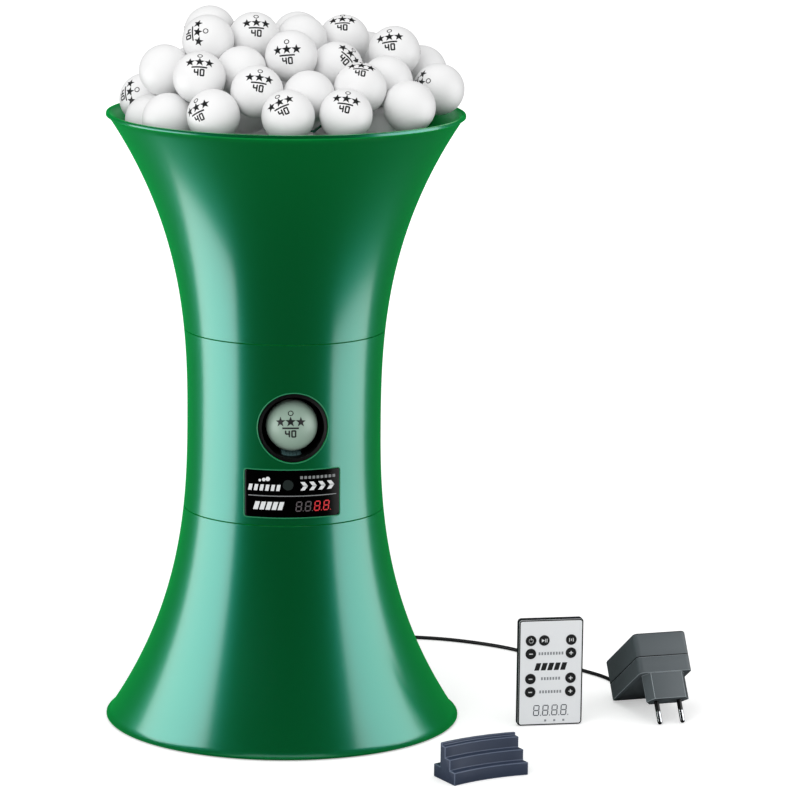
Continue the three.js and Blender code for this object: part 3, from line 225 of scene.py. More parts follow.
def make_floor():
    mesh = bpy.data.meshes.new("floor")
    h = floor_half
    mesh.from_pydata([(-h, -h, 0), (h, -h, 0), (h, h, 0), (-h, h, 0)], [], [(0, 1, 2, 3)])
    paper = bpy.data.materials.new("floor_paper")
    paper.use_nodes = True
    tree = paper.node_tree
    tree.nodes.clear()
    ray = add_node(tree, "ShaderNodeLightPath").outputs
    colour = add_node(tree, "ShaderNodeMix",
                      {"Factor": ray["Is Glossy Ray"], "A": floor_colour, "B": floor_mirrored},
                      data_type="RGBA").outputs["Result"]
    diffuse = add_node(tree, "ShaderNodeBsdfDiffuse", {"Color": colour})
    place = add_node(tree, "ShaderNodeTexCoord").outputs["Object"]
    away = add_node(tree, "ShaderNodeVectorMath", {0: place}, operation="LENGTH").outputs["Value"]
    rise = add_node(tree, "ShaderNodeMapRange",
                    {"Value": away, "From Min": floor_near, "From Max": floor_far,
                     "To Min": floor_glow_near, "To Max": floor_glow_far}, interpolation_type="SMOOTHSTEP")
    share = maths(tree, "MULTIPLY", ray["Is Camera Ray"], rise.outputs[0])
    glow = add_node(tree, "ShaderNodeEmission", {"Color": white, "Strength": share})
    both = add_node(tree, "ShaderNodeAddShader", {0: diffuse.outputs[0], 1: glow.outputs[0]})
    add_node(tree, "ShaderNodeOutputMaterial", {"Surface": both.outputs[0]})
    mesh.materials.append(paper)
    add_object("floor", mesh)


make_floor()

# %% [markdown]
# Moulded plastic is never perfectly even. The mould leaves a fine grain, and handling leaves cloudy
# patches that are a little duller or darker. Both effects are wanted on nearly every piece, so each is a
# shader node group with named sockets, built once.

# %% Shader node groups
bump_height = 0.1 * MM
cloud_share = 0.02
grain_detail, cloud_detail, patch_detail = 3, 4, 5


def node_group(kind, name, inputs, outputs):
    tree = bpy.data.node_groups.new(name, kind)
    for label, socket, value in inputs:
        made = tree.interface.new_socket(label, in_out="INPUT", socket_type="NodeSocket" + socket)
        if value is not None:
            made.default_value = value
    for label, socket in outputs:
        tree.interface.new_socket(label, in_out="OUTPUT", socket_type="NodeSocket" + socket)
    return tree, add_node(tree, "NodeGroupInput").outputs


def noise_of(tree, scale, detail):
    place = add_node(tree, "ShaderNodeTexCoord").outputs["Object"]
    return add_node(tree, "ShaderNodeTexNoise",
                    {"Vector": place, "Scale": scale, "Detail": detail}).outputs["Fac"]


# Grain: a bump of fine noise, and roughness that wanders round its mean
grain_group, given = node_group(
    "ShaderNodeTree", "moulded_grain",
    [("Scale", "Float", 900), ("Depth", "Float", 0.1), ("Roughness", "Float", 0.4),
     ("Spread", "Float", 0.05)],
    [("Roughness", "Float"), ("Normal", "Vector")],
)
fine = noise_of(grain_group, given["Scale"], grain_detail)
bump = add_node(grain_group, "ShaderNodeBump",
                {"Distance": bump_height, "Strength": given["Depth"], "Height": fine})
cloud_scale = maths(grain_group, "MULTIPLY", given["Scale"], cloud_share)
cloud = noise_of(grain_group, cloud_scale, cloud_detail)
centred = maths(grain_group, "SUBTRACT", cloud, 0.5)
wander = maths(grain_group, "MULTIPLY_ADD", centred, given["Spread"], given["Roughness"])
add_node(grain_group, "NodeGroupOutput", {"Roughness": wander, "Normal": bump.outputs["Normal"]})

# Mottle: a colour that drifts softly between itself and a second one
mottle_group, given = node_group(
    "ShaderNodeTree", "mottle",
    [("Color", "Color", (0.5, 0.5, 0.5, 1)), ("Second", "Color", (0.4, 0.4, 0.4, 1)),
     ("Scale", "Float", 14), ("Amount", "Float", 0.3)],
    [("Color", "Color")],
)
patches = noise_of(mottle_group, given["Scale"], patch_detail)
some = maths(mottle_group, "MULTIPLY", patches, given["Amount"])
blend = add_node(mottle_group, "ShaderNodeMix", {"Factor": some, "A": given["Color"], "B": given["Second"]},
                 data_type="RGBA")
add_node(mottle_group, "NodeGroupOutput", {"Color": blend.outputs["Result"]})
print("groups", grain_group.name, mottle_group.name)

# %% [markdown]
# Each finish of the object is one material: a Principled shader fed by the two groups with its own
# values. Colours are written as they are read off the photograph and turned into linear light.
# The shell has three layers: a deep green base with a broad teal gloss, a clear coat that draws the white
# bands, and a green sheen that lightens it toward its edges.

# %% Finishes
def linear(hex_colour):
    parts = [int(hex_colour[i:i + 2], 16) / 255 for i in (0, 2, 4)]
    return [c / 12.92 if c <= 0.04045 else ((c + 0.055) / 1.055) ** 2.4 for c in parts] + [1]


def adjust(material, inputs):
    feed(material.node_tree, material.node_tree.nodes["Principled BSDF"], inputs)


def finish(name, colour, second, roughness, grain=1500, depth=0.05, spread=0.08, amount=0.35, patch=14,
           more=None):
    material = bpy.data.materials.new(name)
    material.use_nodes = True
    material.diffuse_color = linear(colour)
    surface = add_node(material.node_tree, "ShaderNodeGroup",
                       {"Scale": grain, "Depth": depth, "Roughness": roughness, "Spread": spread},
                       node_tree=grain_group).outputs
    tint = add_node(material.node_tree, "ShaderNodeGroup",
                    {"Color": linear(colour), "Second": linear(second), "Scale": patch, "Amount": amount},
                    node_tree=mottle_group).outputs
    adjust(material, {"Base Color": tint["Color"], "Roughness": surface["Roughness"],
                      "Normal": surface["Normal"], **(more or {})})
    return material


green_shell = finish("green_shell_plastic", "004400", "004000", 0.33, 1400, 0.06, 0.02, more={
    "IOR": 1.85, "Specular IOR Level": 0.9, "Specular Tint": linear("00d6d4"),
    "Coat Weight": 0.75, "Coat Roughness": 0.18, "Coat IOR": 1.75,
    "Sheen Weight": 1, "Sheen Roughness": 0.6, "Sheen Tint": linear("00c050")})
lip_green = finish("pale_lip_plastic", "258a5d", "1f7f55", 0.35, 1400, 0.06, 0.02)
white_ball = finish("white_ball_plastic", "f3f3f3", "ececed", 0.5, 1600, 0.05, 0.1, patch=30)
# painted shade: the muzzle ball is white plastic, darkened and tinted green here to stand in for the shade
# inside the barrel
shaded_held_white = finish("held_ball_painted_shade", "93ab9c", "84998b", 0.42, 1600, 0.05, 0.1, patch=30)
dark_plastic = finish("dark_grey_plastic", "2b2f33", "23272a", 0.55, 1500, 0.25)
black_plastic = finish("black_plastic", "060607", "0a0a0b", 0.5, 1500, 0.2)
# painted highlights: lighter finishes for the bevels of the adapter's base and the wedge, standing in for
# the light their edges catch
adapter_edge_highlight = finish("adapter_edge_painted_highlight", "9aa3a8", "8e969b", 0.35, 1400, 0.1)
wedge_edge_highlight = finish("wedge_edge_painted_highlight", "566279", "48536a", 0.5, 1400, 0.1)
case_black = finish("remote_case_plastic", "222427", "1c1e20", 0.5, 1300, 0.3)
panel_gloss = finish("panel_gloss_black", "010101", "020202", 0.2, 2000, 0.01, 0.05,
                     more={"Specular IOR Level": 0.12})
receiver_dark = finish("receiver_dark", "232b29", "1c2422", 0.25, 2000, 0.02)
grey_plastic = finish("grey_plastic", "9aa0a2", "8c9294", 0.5, 1500, 0.2)
remote_white = finish("remote_face_film", "e8eaec", "dfe2e5", 0.4, 1800, 0.08, amount=0.4)
teal_rubber = finish("teal_wheel_rubber", "4f6f70", "435f60", 0.8, 1200, 0.6)
red_rubber = finish("red_wheel_rubber", "4a1f18", "3a1712", 0.8, 1200, 0.6)
black_rubber = finish("black_rubber", "131517", "1a1c1e", 0.62, 1500, 0.3)
wedge_rubber = finish("slate_wedge_rubber", "323e55", "222b3b", 0.55, 1100, 0.55, 0.16, 0.6, 22,
                      more={"Specular IOR Level": 0.35})
adapter_plastic = finish("adapter_textured_plastic", "50585c", "474e51", 0.5, 1300, 0.6, 0.12)
steel = finish("bright_steel", "c2c5c9", "aeb2b6", 0.26, 2200, 0.05, 0.12, more={"Metallic": 1})
board_green = finish("circuit_board_green", "1d5a32", "14432a", 0.4, 700, 0.3, 0.2, 0.8, 220)
cord_black = finish("cord_black_pvc", "141517", "1c1e20", 0.5, 1400, 0.2)
ball_ink = finish("ball_ink", "17181a", "26282a", 0.6)
white_ink = finish("white_ink", "dcdedf", "d2d4d5", 0.5)
grey_ink = finish("grey_ink", "7d8081", "707475", 0.5)
word_ink = finish("word_ink", "868a8e", "7c8084", 0.5)
slate_ink = finish("slate_ink", "343b48", "2c333f", 0.5)
unlit_segment = finish("unlit_segment", "5c5458", "4c4649", 0.4)
lit_segment = finish("lit_segment_red", "c8202a", "b41a22", 0.4)
print("materials", len(bpy.data.materials))

# %% [markdown]
# A segment that is lit gives light of its own, so its finish also emits, softly enough that it doesn't
# clip to a flat patch.

# %% Lit digits
glow_strength = 0.12
adjust(lit_segment, {"Emission Color": linear("ff2a24"), "Emission Strength": glow_strength})
print("glow", glow_strength)

# %% [markdown]
# The helpers below are the bench tools: a lathe, a way to cut one solid by another, and a way to seat a
# finished piece on the body that it moves with. Every piece is built in place, so its object stays at the
# origin, as the CAD nodes do. A lathe profile can't touch its own axis, so it starts a hair beside it, and
# the merging of close points then shuts the thin tube that is left there.

# %% Bench tools
merge_distance = 4e-6
middle_line = 1e-6
sharp_angle = 32


def smooth(mesh, sharp=sharp_angle):
    mesh.polygons.foreach_set("use_smooth", [True] * len(mesh.polygons))
    mesh.set_sharp_from_angle(angle=math.radians(sharp))


def object_of(name, bm, materials=(), sharp=sharp_angle):
    bmesh.ops.remove_doubles(bm, verts=bm.verts, dist=merge_distance)
    loose = [edge for edge in bm.edges if not edge.link_faces]
    bmesh.ops.delete(bm, geom=loose, context="EDGES")
    bmesh.ops.recalc_face_normals(bm, faces=bm.faces)
    mesh = bpy.data.meshes.new(name)
    bm.to_mesh(mesh)
    bm.free()
    for material in materials:
        mesh.materials.append(material)
    smooth(mesh, sharp)
    return add_object(name, mesh)


def seat(piece, body, slot, *nodes):
    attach(piece, body)
    if nodes:
        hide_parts(*nodes)
    print(piece.name, "rides", body)
    return piece


def at_axis(x, y, z):
    return Vector((axis_x + x, axis_y + y, z))


def upright(radius, height, angle):
    return at_axis(radius * math.sin(angle), -radius * math.cos(angle), height)


def turned(profile, sides, place=upright):
    bm = bmesh.new()
    rings = [[bm.verts.new(place(radius, height, 2 * math.pi * i / sides)) for radius, height in profile]
             for i in range(sides)]
    for here, there in zip(rings, rings[1:] + rings[:1]):
        for k in range(len(profile)):
            after = (k + 1) % len(profile)
            bm.faces.new((here[k], there[k], there[after], here[after]))
    return bm


def lathe(name, profile, sides, material, body, slot, *nodes, place=upright):
    return seat(object_of(name, turned(profile, sides, place), [material]), body, slot, *nodes)


def evaluated(piece):
    graph = bpy.context.evaluated_depsgraph_get()
    return bpy.data.meshes.new_from_object(piece.evaluated_get(graph))


def plain_mesh(piece):
    mesh = evaluated(piece)
    piece.modifiers.clear()
    piece.data = mesh


def carve(piece, operation, *tools):
    for tool in tools:
        step = piece.modifiers.new("carve", "BOOLEAN")
        step.object = tool
        step.operation = operation
        step.solver = "EXACT"
    plain_mesh(piece)
    smooth(piece.data)
    for tool in tools:
        bpy.data.objects.remove(tool)


def arc(centre, radius, start, end, steps):
    x, y = centre
    angles = [math.radians(start + (end - start) * i / steps) for i in range(steps + 1)]
    return [(x + radius * math.cos(angle), y + radius * math.sin(angle)) for angle in angles]


print("facets are merged within", merge_distance / MM, "mm")

# %% [markdown]
# The shells follow one outline: narrow at half height and flaring by a power of the distance from there.
# Hopper, head and stand are turned from that outline with many sides, because a glossy trumpet shows
# every facet. At each seam both edges get a small chamfer, which catches the light as the real seam does.

# %% Outline of the trumpet
waist_radius = 75.7 * MM
flare_power = 2.55
wall = 2.6 * MM
shell_sides = 224
seam_chamfer = 0.25 * MM
seam_gap = 0.5 * MM
upper_seam = bowl_low.z - seam_gap
lower_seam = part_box("head_shell")[0].z - seam_gap


def shell_radius(height):
    share = abs(2 * height / rim_height - 1)
    return waist_radius + (rim_radius - waist_radius) * share ** flare_power


def outline(low, high, steps, inset=0):
    heights = [low + (high - low) * i / steps for i in range(steps + 1)]
    return [(shell_radius(height) - inset, height) for height in heights]


print("seams at", round(upper_seam, 4), round(lower_seam, 4))

# %% [markdown]
# The hopper is the trumpet's upper part: a thin moulded wall that ends in a bead, which keeps the wide rim
# stiff. It is one closed profile, up the outside, over the bead and down the inside, so the rim shows the
# wall's real thickness. A bent sheet with a thickness added later would lose the bead's soft corners.

# %% Hopper shell
bead_low = rim_height - 3 * MM
bead_radius = shell_radius(bead_low)
bowl_bottom = bowl_low.z
rim_bead = [
    (bead_radius + 0.2 * MM, bead_low - 0.4 * MM), (bead_radius + 1.2 * MM, bead_low),
    (rim_radius, bead_low + 0.6 * MM), (rim_radius, rim_height - 1 * MM),
    (rim_radius - 0.3 * MM, rim_height - 0.3 * MM), (rim_radius - 0.9 * MM, rim_height),
    (rim_radius - wall + 0.5 * MM, rim_height), (rim_radius - wall - 0.1 * MM, rim_height - 0.4 * MM),
]
bowl_profile = (
    [(shell_radius(bowl_bottom) - seam_chamfer, bowl_bottom)]
    + outline(bowl_bottom + seam_chamfer, bead_low - 1 * MM, 46) + rim_bead
    + outline(bowl_bottom, rim_height - 1 * MM, 40, wall)[::-1]
)
lathe("hopper_shell", bowl_profile, shell_sides, green_shell, "hopper", "green_shell", "bowl")

# %% [markdown]
# The head has three openings: the round muzzle, the window behind the display panel, and the hole for the
# power jack at the back. They are cut from the turned shell with exact booleans.

# %% Head shell
barrel_height = 246 * MM
muzzle_radius = 27 * MM
panel_low, panel_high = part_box("display_panel")
panel_width = panel_high.x - panel_low.x
panel_height = panel_high.z - panel_low.z
panel_middle = (panel_low.z + panel_high.z) / 2
panel_corner = 2 * MM
panel_thickness = 3 * MM
panel_proud = 0.4 * MM
panel_gap = 0.3 * MM
jack_height = 190 * MM
jack_hole = 4.9 * MM
past_wall = 140 * MM


def along_y(level):
    def place(radius, height, angle):
        return at_axis(radius * math.cos(angle), -height, level + radius * math.sin(angle))
    return place


def rod(name, radius, start, end, sides, place):
    profile = [(middle_line, start), (radius, start), (radius, end), (middle_line, end)]
    return object_of(name, turned(profile, sides, place))


def rounded(width, height, corner, steps):
    x, y = width / 2 - corner, height / 2 - corner
    return (arc((x, y), corner, 0, 90, steps) + arc((-x, y), corner, 90, 180, steps)
            + arc((-x, -y), corner, 180, 270, steps) + arc((x, -y), corner, 270, 360, steps))


def skin(name, loops, materials=()):
    bm = bmesh.new()
    rings = [[bm.verts.new(point) for point in loop] for loop in loops]
    bm.faces.new(rings[0])
    bm.faces.new(rings[-1])
    for lower, upper in zip(rings, rings[1:]):
        for i in range(len(lower)):
            j = (i + 1) % len(lower)
            bm.faces.new((lower[i], lower[j], upper[j], upper[i]))
    return object_of(name, bm, materials)


def prism(name, points, place, start, end, materials=()):
    return skin(name, [[place(x, y, level) for x, y in points] for level in (start, end)], materials)


head_low = lower_seam + seam_gap
head_profile = (
    [(shell_radius(head_low) - seam_chamfer, head_low)]
    + outline(head_low + seam_chamfer, upper_seam - seam_chamfer, 44)
    + [(shell_radius(upper_seam) - seam_chamfer, upper_seam)]
    + outline(head_low, upper_seam, 30, wall)[::-1]
)
head = lathe("head_shell_smooth", head_profile, shell_sides, green_shell,
             "head", "green_shell", "head_shell")
muzzle_tool = rod("muzzle_tool", muzzle_radius, 20 * MM, past_wall, 128, along_y(barrel_height))
jack_tool = rod("jack_tool", jack_hole, -past_wall, -50 * MM, 48, along_y(jack_height))
panel_window = rounded(panel_width + 2 * panel_gap, panel_height + 2 * panel_gap, panel_corner, 6)
panel_tool = prism("panel_tool", panel_window, lambda x, y, depth: at_axis(x, -depth, panel_middle + y),
                   50 * MM, past_wall)
carve(head, "DIFFERENCE", muzzle_tool, jack_tool, panel_tool)

# %% [markdown]
# The stand is the same trumpet upside down. Its foot ends in a hem, a low upright band with soft edges,
# which keeps the wide edge round and level on the table. It is turned from its own closed profile too, so
# the seam under the head shows a fine line between two real edges.

# %% Stand shell
hem_height = 2.5 * MM
stand_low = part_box("stand_shell")[0].z
stand_profile = (
    [(rim_radius - 0.6 * MM, stand_low), (rim_radius, stand_low + 0.6 * MM),
     (rim_radius, hem_height - 0.3 * MM), (rim_radius - 0.5 * MM, hem_height)]
    + outline(hem_height + 1 * MM, lower_seam - seam_chamfer, 60)
    + [(shell_radius(lower_seam) - seam_chamfer, lower_seam)]
    + outline(hem_height + 1 * MM, lower_seam, 40, wall)[::-1]
    + [(rim_radius - wall, stand_low)]
)
lathe("stand_shell_smooth", stand_profile, shell_sides, green_shell, "stand", "green_shell", "stand_shell")

# %% [markdown]
# A moulded opening has a thin raised lip. Round the muzzle and round the display it is a fine bead that
# follows the curved wall, so each lip is a curve laid on the shell and given a round section.

# %% Lips round muzzle and panel
lip_radius = 0.42 * MM
lip_steps = 160
lip_sharp = 40


def on_shell(x, height, proud):
    radius = shell_radius(height) + proud
    return at_axis(x, -math.sqrt(radius * radius - x * x), height)


def tube(name, points, radius, material, closed=False, resolution=4):
    data = bpy.data.curves.new(name, "CURVE")
    data.dimensions = "3D"
    data.bevel_depth = radius
    data.bevel_resolution = resolution
    data.use_fill_caps = True
    spline = data.splines.new("POLY")
    spline.points.add(len(points) - 1)
    for point, value in zip(spline.points, points):
        point.co = (*value, 1)
    spline.use_cyclic_u = closed
    spline.use_smooth = True
    data.materials.append(material)
    return add_object(name, data)


def fill_line(points, step):
    dense = []
    for (x, y), (next_x, next_y) in zip(points, points[1:] + points[:1]):
        count = max(1, round(math.dist((x, y), (next_x, next_y)) / step))
        dense += [(x + (next_x - x) * k / count, y + (next_y - y) * k / count) for k in range(count)]
    return dense


reach = muzzle_radius + lip_radius
turns = [2 * math.pi * i / lip_steps for i in range(lip_steps)]
frame_line = rounded(panel_width + 3 * panel_gap, panel_height + 3 * panel_gap, panel_corner, 6)
lip_lines = {
    "muzzle_lip": [(reach * math.sin(angle), barrel_height + reach * math.cos(angle)) for angle in turns],
    "panel_lip": [(x, panel_middle + y) for x, y in fill_line(frame_line, 2 * MM)],
}
for name, line in lip_lines.items():
    curve = tube(name, [on_shell(x, height, 0) for x, height in line], lip_radius, lip_green, closed=True)
    mesh = evaluated(curve)
    bpy.data.objects.remove(curve)
    smooth(mesh, lip_sharp)
    seat(add_object(name, mesh), "head", "green_shell")

# %% [markdown]
# The panel is a curved slab with softly rounded edges. It is built as nested copies of its own outline,
# each one laid on the head's curve, so the gloss runs smoothly over the bend.

# %% Display panel
edge = 0.3 * MM
wide_share, tall_share = 1 - 2 * edge / panel_width, 1 - 2 * edge / panel_height
panel_rings = [(1, 1, -panel_thickness), (1, 1, panel_proud - edge)]
panel_rings += [(wide_share * k, tall_share * k, panel_proud) for k in (1, 0.97, 0.88, 0.7, 0.5, 0.3, 0.1)]
panel_points = fill_line(rounded(panel_width, panel_height, panel_corner, 6), 1.2 * MM)
panel = skin("display_panel_smooth",
             [[on_shell(x * wide, panel_middle + y * tall, proud) for x, y in panel_points]
              for wide, tall, proud in panel_rings], [panel_gloss])
seat(panel, "head", "panel_gloss", "display_panel")

# %% [markdown]
# Prints and inlays are flat shapes first: bars, discs, arcs, stars and seven-segment digits, each a list
# of outlines. The shapes are in millimetres, so they read like a drawing.

# %% Flat shapes
def bar_shape(x, y, width, height, slant=0):
    return [(x + side * width / 2 + end * slant * height / 2, y + end * height / 2)
            for side, end in ((-1, -1), (1, -1), (1, 1), (-1, 1))]


def bar_row(count, x, pitch, y, width, height, slant=0):
    return [bar_shape(x + pitch * i, y, width, height, slant) for i in range(count)]


def disc_shape(x, y, radius, sides=28):
    angles = [2 * math.pi * i / sides for i in range(sides)]
    return [(x + radius * math.cos(angle), y + radius * math.sin(angle)) for angle in angles]


def arc_shapes(x, y, radius, width, start, end, steps=16):
    outer = arc((x, y), radius + width / 2, start, end, steps)
    inner = arc((x, y), radius - width / 2, start, end, steps)
    return [[outer[i], outer[i + 1], inner[i + 1], inner[i]] for i in range(steps)]


def star_shape(x, y, radius):
    tips = arc((x, y), radius, 90, 450, 5)
    dents = arc((x, y), radius * 0.42, 126, 486, 5)
    return [point for pair in zip(tips[:5], dents) for point in pair]


def lozenge(low, high, level, half):
    return [(low, level), (low + half, level + half), (high - half, level + half),
            (high, level), (high - half, level - half), (low + half, level - half)]


segments_of = {"0": "abcdef", "4": "bcfg", "8": "abcdefg"}


def digit_shapes(digit, x, y, width, height, thick, slant=0.12, gap_share=0.18):
    half_w, half_h = width / 2, height / 2
    gap = thick * gap_share
    level = {"a": half_h, "g": 0, "d": -half_h}
    upright_at = {"f": (-half_w, 1), "b": (half_w, 1), "e": (-half_w, -1), "c": (half_w, -1)}
    shapes = []
    for segment in segments_of[digit]:
        if segment in level:
            points = lozenge(gap - half_w, half_w - gap, level[segment], thick / 2)
        else:
            u, side = upright_at[segment]
            low, high = sorted((side * gap, side * (half_h - gap)))
            points = [(across, up) for up, across in lozenge(low, high, u, thick / 2)]
        shapes.append([(x + u + slant * v, y + v) for u, v in points])
    return shapes


print("digits known", "".join(segments_of))

# %% [markdown]
# A print has to follow the surface that it lies on. One routine fills the outlines, cuts them fine enough
# to bend, gives them a hair's thickness and lays them on any surface through a place function. A picture
# wrapped round the shell would need no geometry, but its edges would blur from near.

# %% Laying shapes on a surface
def inlay(bm, shapes, place, material_index=0, thickness=0.12, lift=0.05, cut=2.5):
    flat = bmesh.new()
    for points in shapes:
        flat.faces.new([flat.verts.new((x, y, 0)) for x, y in points])
    bmesh.ops.triangulate(flat, faces=flat.faces)
    for _ in range(4):
        long_edges = [edge for edge in flat.edges if edge.calc_length() > cut]
        bmesh.ops.subdivide_edges(flat, edges=long_edges, cuts=1)
        bmesh.ops.triangulate(flat, faces=flat.faces)
    bmesh.ops.recalc_face_normals(flat, faces=flat.faces)
    made_of = bmesh.ops.extrude_face_region(flat, geom=flat.faces[:])["geom"]
    top = {v for v in made_of if isinstance(v, bmesh.types.BMVert)}
    flat.verts.index_update()
    copies = {}
    for vert in flat.verts:
        depth = lift if vert in top else lift - thickness
        copies[vert.index] = bm.verts.new(place(vert.co.x * MM, vert.co.y * MM, depth * MM))
    for face in flat.faces:
        bm.faces.new([copies[v.index] for v in face.verts]).material_index = material_index
    flat.free()


def printed_piece(name, body, slot, place, layers, **sizes):
    bm = bmesh.new()
    for index, (ink, shapes) in enumerate(layers):
        inlay(bm, shapes, place, index, **sizes)
    piece = object_of(name, bm, [ink for ink, _ in layers])
    return seat(piece, body, slot)


def on_panel(x, y, depth):
    return on_shell(x, panel_middle + y, panel_proud + depth)


print("panel's front", on_panel(0, 0, 0))

# %% [markdown]
# The panel is printed in two inks: white where the eye should go first, grey for the quiet lines. A ball
# flies off over slanted bars, chevrons point the way under a dashed line, and stripes fill the lower left.
# Each row is laid out by one loop with a fixed pitch, because an even pitch is what makes a print look
# printed.

# %% Marks on the panel
def chevron(x, y, size, thick):
    near, far = x + size * 0.8, x + thick + size * 0.8
    return [[(x, y + size), (x + thick, y + size), (far, y), (near, y)],
            [(x, y - size), (near, y), (far, y), (x + thick, y - size)]]


flight = [disc_shape(-25.4 + 3 * i, 10.4 + 0.6 * i, 1 + 0.35 * i) for i in range(3)]
arrows = [shape for i in range(4) for shape in chevron(5.4 + 7 * i, 6, 3.3, 3.4)]
slanted = bar_row(6, -32.4, 4.2, 4.8, 2.6, 4.8, 0.2)
stripes = bar_row(5, -27.8, 4.6, -9.2, 3.4, 6.2, 0.3)
divider = bar_shape(0, -1.6, panel_width / MM * 0.93, 0.7)
dashes = bar_row(9, 6.4, 3.2, 12.7, 2.1, 2.2)
printed_piece("panel_marks", "head", "panel_gloss", on_panel,
              [(white_ink, flight + slanted + arrows + stripes), (grey_ink, [divider] + dashes)])

# %% [markdown]
# The remote's signal enters through a round dark window, and four digits stand beside it, two dark and two
# lit. On a real panel both lie under the gloss. Here they are thin inlays a hair above it, because a clear
# front would cost many more light paths and look the same from here.

# %% Receiver window and digits
window = disc_shape(-4, 7, 4.1, 40)
printed_piece("receiver_window", "head", "panel_gloss", on_panel, [(receiver_dark, [window])], lift=0.08)
digit_pitch = 7.2
halves = [], []
for i in range(4):
    x = 15.2 + (i - 1.5) * digit_pitch
    halves[i // 2].extend(digit_shapes("8", x, -9.7, 3.9, 7, 0.9) + [disc_shape(x + 3.3, -13.2, 0.4, 12)])
printed_piece("display_digits_lit", "head", "panel_gloss", on_panel,
              [(unlit_segment, halves[0]), (lit_segment, halves[1])])

# %% [markdown]
# The balls in the hopper aren't dropped by a simulation, whose end state would change with every setting.
# A table says roughly where each ball lies, and a short routine pushes overlapping balls apart and
# keeps them inside the flare. The same table shaped the CAD, so both heaps agree. Numbers here are in
# millimetres, as in the CAD.

# %% Places of the balls
ball_radius = 20
buried_ring_shares = [(1, 0, 0.4), (5, 1.05, 0.3)]
shown_shares = [
    (-2.5, -1.5, 0), (-1.7, -2.4, 0.15), (-0.25, -2.8, 0.25), (0.9, -2.6, 0.3), (1.65, -1.25, -0.15),
    (2.25, -1.9, 0.25), (-2.8, -0.6, 0), (-2.65, 0.4, 0.25), (2.95, -0.5, 0.45), (-2.35, -0.5, 0.7),
    (-1.8, -1.5, 0.8), (-0.8, -2, 0.7), (0.25, -1.9, 0.5), (1.25, -1.9, 0.7), (1.85, -1, 0.6),
    (2.65, 0.5, 0.75), (2.1, -0.1, 1.2), (0.85, -0.75, 0.85), (1.75, 1.5, 0.85), (-0.15, -1.1, 1.2),
    (-0.95, -0.9, 0.75), (-1.65, -0.4, 1.35), (-0.7, -0.1, 1.45), (0.3, 0.25, 1.4), (1.15, 0.9, 1.3),
    (-2.5, 1.4, 0.1), (-1.85, 2.2, 0.1), (-0.95, 2.7, 0.1), (0.1, 2.85, 0.1), (1.1, 2.6, 0.1),
    (2, 2.05, 0.1), (2.6, 1.2, 0.1), (0.75, 2, 0.7), (-0.4, 2.1, 0.7), (-1.4, 1.65, 0.7),
    (-2, 0.8, 0.7), (0.4, 1.25, 1.25), (-0.6, 1.1, 1.25), (-1.55, 0.6, 1.2),
]
rim_mm, rim_radius_mm, wall_mm, ball_gap = 480, 139, 2.6, 0.3
pack_share, near_share, grip_share, stay_share, facet_share = 0.995, 1.1, 0.3, 0.04, 1.07
settle_rounds, free_rounds = 120, 30
rim_slope = (rim_radius_mm - shell_radius((rim_mm - ball_radius) * MM) / MM) / ball_radius
rim_long = math.sqrt(1 + rim_slope ** 2)
ball_room = ball_radius * facet_share + 3 * ball_gap


def keep_inside(place):
    out = math.hypot(place[0], place[1])
    touch = min(rim_mm, place[2] - ball_room * rim_slope / rim_long)
    limit = rim_radius_mm - (rim_mm - touch) * rim_slope - wall_mm - ball_room / rim_long
    over = out - limit
    if over <= 0:
        return
    inward = over / rim_long ** 2 / out
    place[0] -= place[0] * inward
    place[1] -= place[1] * inward
    place[2] += over * rim_slope / rim_long ** 2


def push_apart(first, second, packing, near):
    apart = [a - b for a, b in zip(first, second)]
    long = math.sqrt(sum(value * value for value in apart))
    if long > near:
        return
    share = (long - packing) / 2 / long * (1 if long < packing else grip_share)
    for k in range(3):
        first[k] -= apart[k] * share
        second[k] += apart[k] * share


def heap_places():
    across = 2 * ball_radius
    homes = []
    for count, out, up in buried_ring_shares:
        for i in range(count):
            angle = 2 * math.pi * i / count
            flat = across * out
            homes.append([flat * math.cos(angle), flat * math.sin(angle), rim_mm + up * across])
    homes += [[x * across, y * across, rim_mm + up * across] for x, y, up in shown_shares]
    places = [list(home) for home in homes]
    packing = across * pack_share
    near = across * near_share
    for turn_number in range(settle_rounds):
        for i, first in enumerate(places):
            for second in places[i + 1:]:
                push_apart(first, second, packing, near)
        for place, home in zip(places, homes):
            if turn_number < settle_rounds - free_rounds:
                for k in range(3):
                    place[k] += (home[k] - place[k]) * stay_share
            keep_inside(place)
    return [at_axis(x * MM, y * MM, z * MM) for x, y, z in places]


places = heap_places()
print("balls", len(places), "highest", round(max(p.z for p in places) / MM, 1))

# %% [markdown]
# Deeper balls show only from above, through the gaps of the others. Random places are tried, and each one
# that keeps clear of every ball so far is kept. A fixed seed gives the same heap every time.

# %% Buried balls
buried_tries, buried_low, buried_high = 6000, 388, 462


def buried_places(shown):
    chance = random.Random(11)
    found = []
    for _ in range(buried_tries):
        level = chance.uniform(buried_low, buried_high)
        room = shell_radius((level - ball_radius * 0.6) * MM) - (wall_mm + ball_radius * 1.1) * MM
        angle, out = chance.uniform(0, 2 * math.pi), math.sqrt(chance.random()) * room
        place = at_axis(out * math.cos(angle), out * math.sin(angle), level * MM)
        if all((place - other).length > (2 * ball_radius + ball_gap) * MM for other in shown + found):
            found.append(place)
    return found


buried = buried_places(places)
print("buried", len(buried))

# %% [markdown]
# One ball is drawn once. Geometry Nodes then sets a copy on every place, each turned its own way by a
# fixed seed, and the result is kept as a plain mesh. The group's sockets carry the values that a maker
# would want to change.

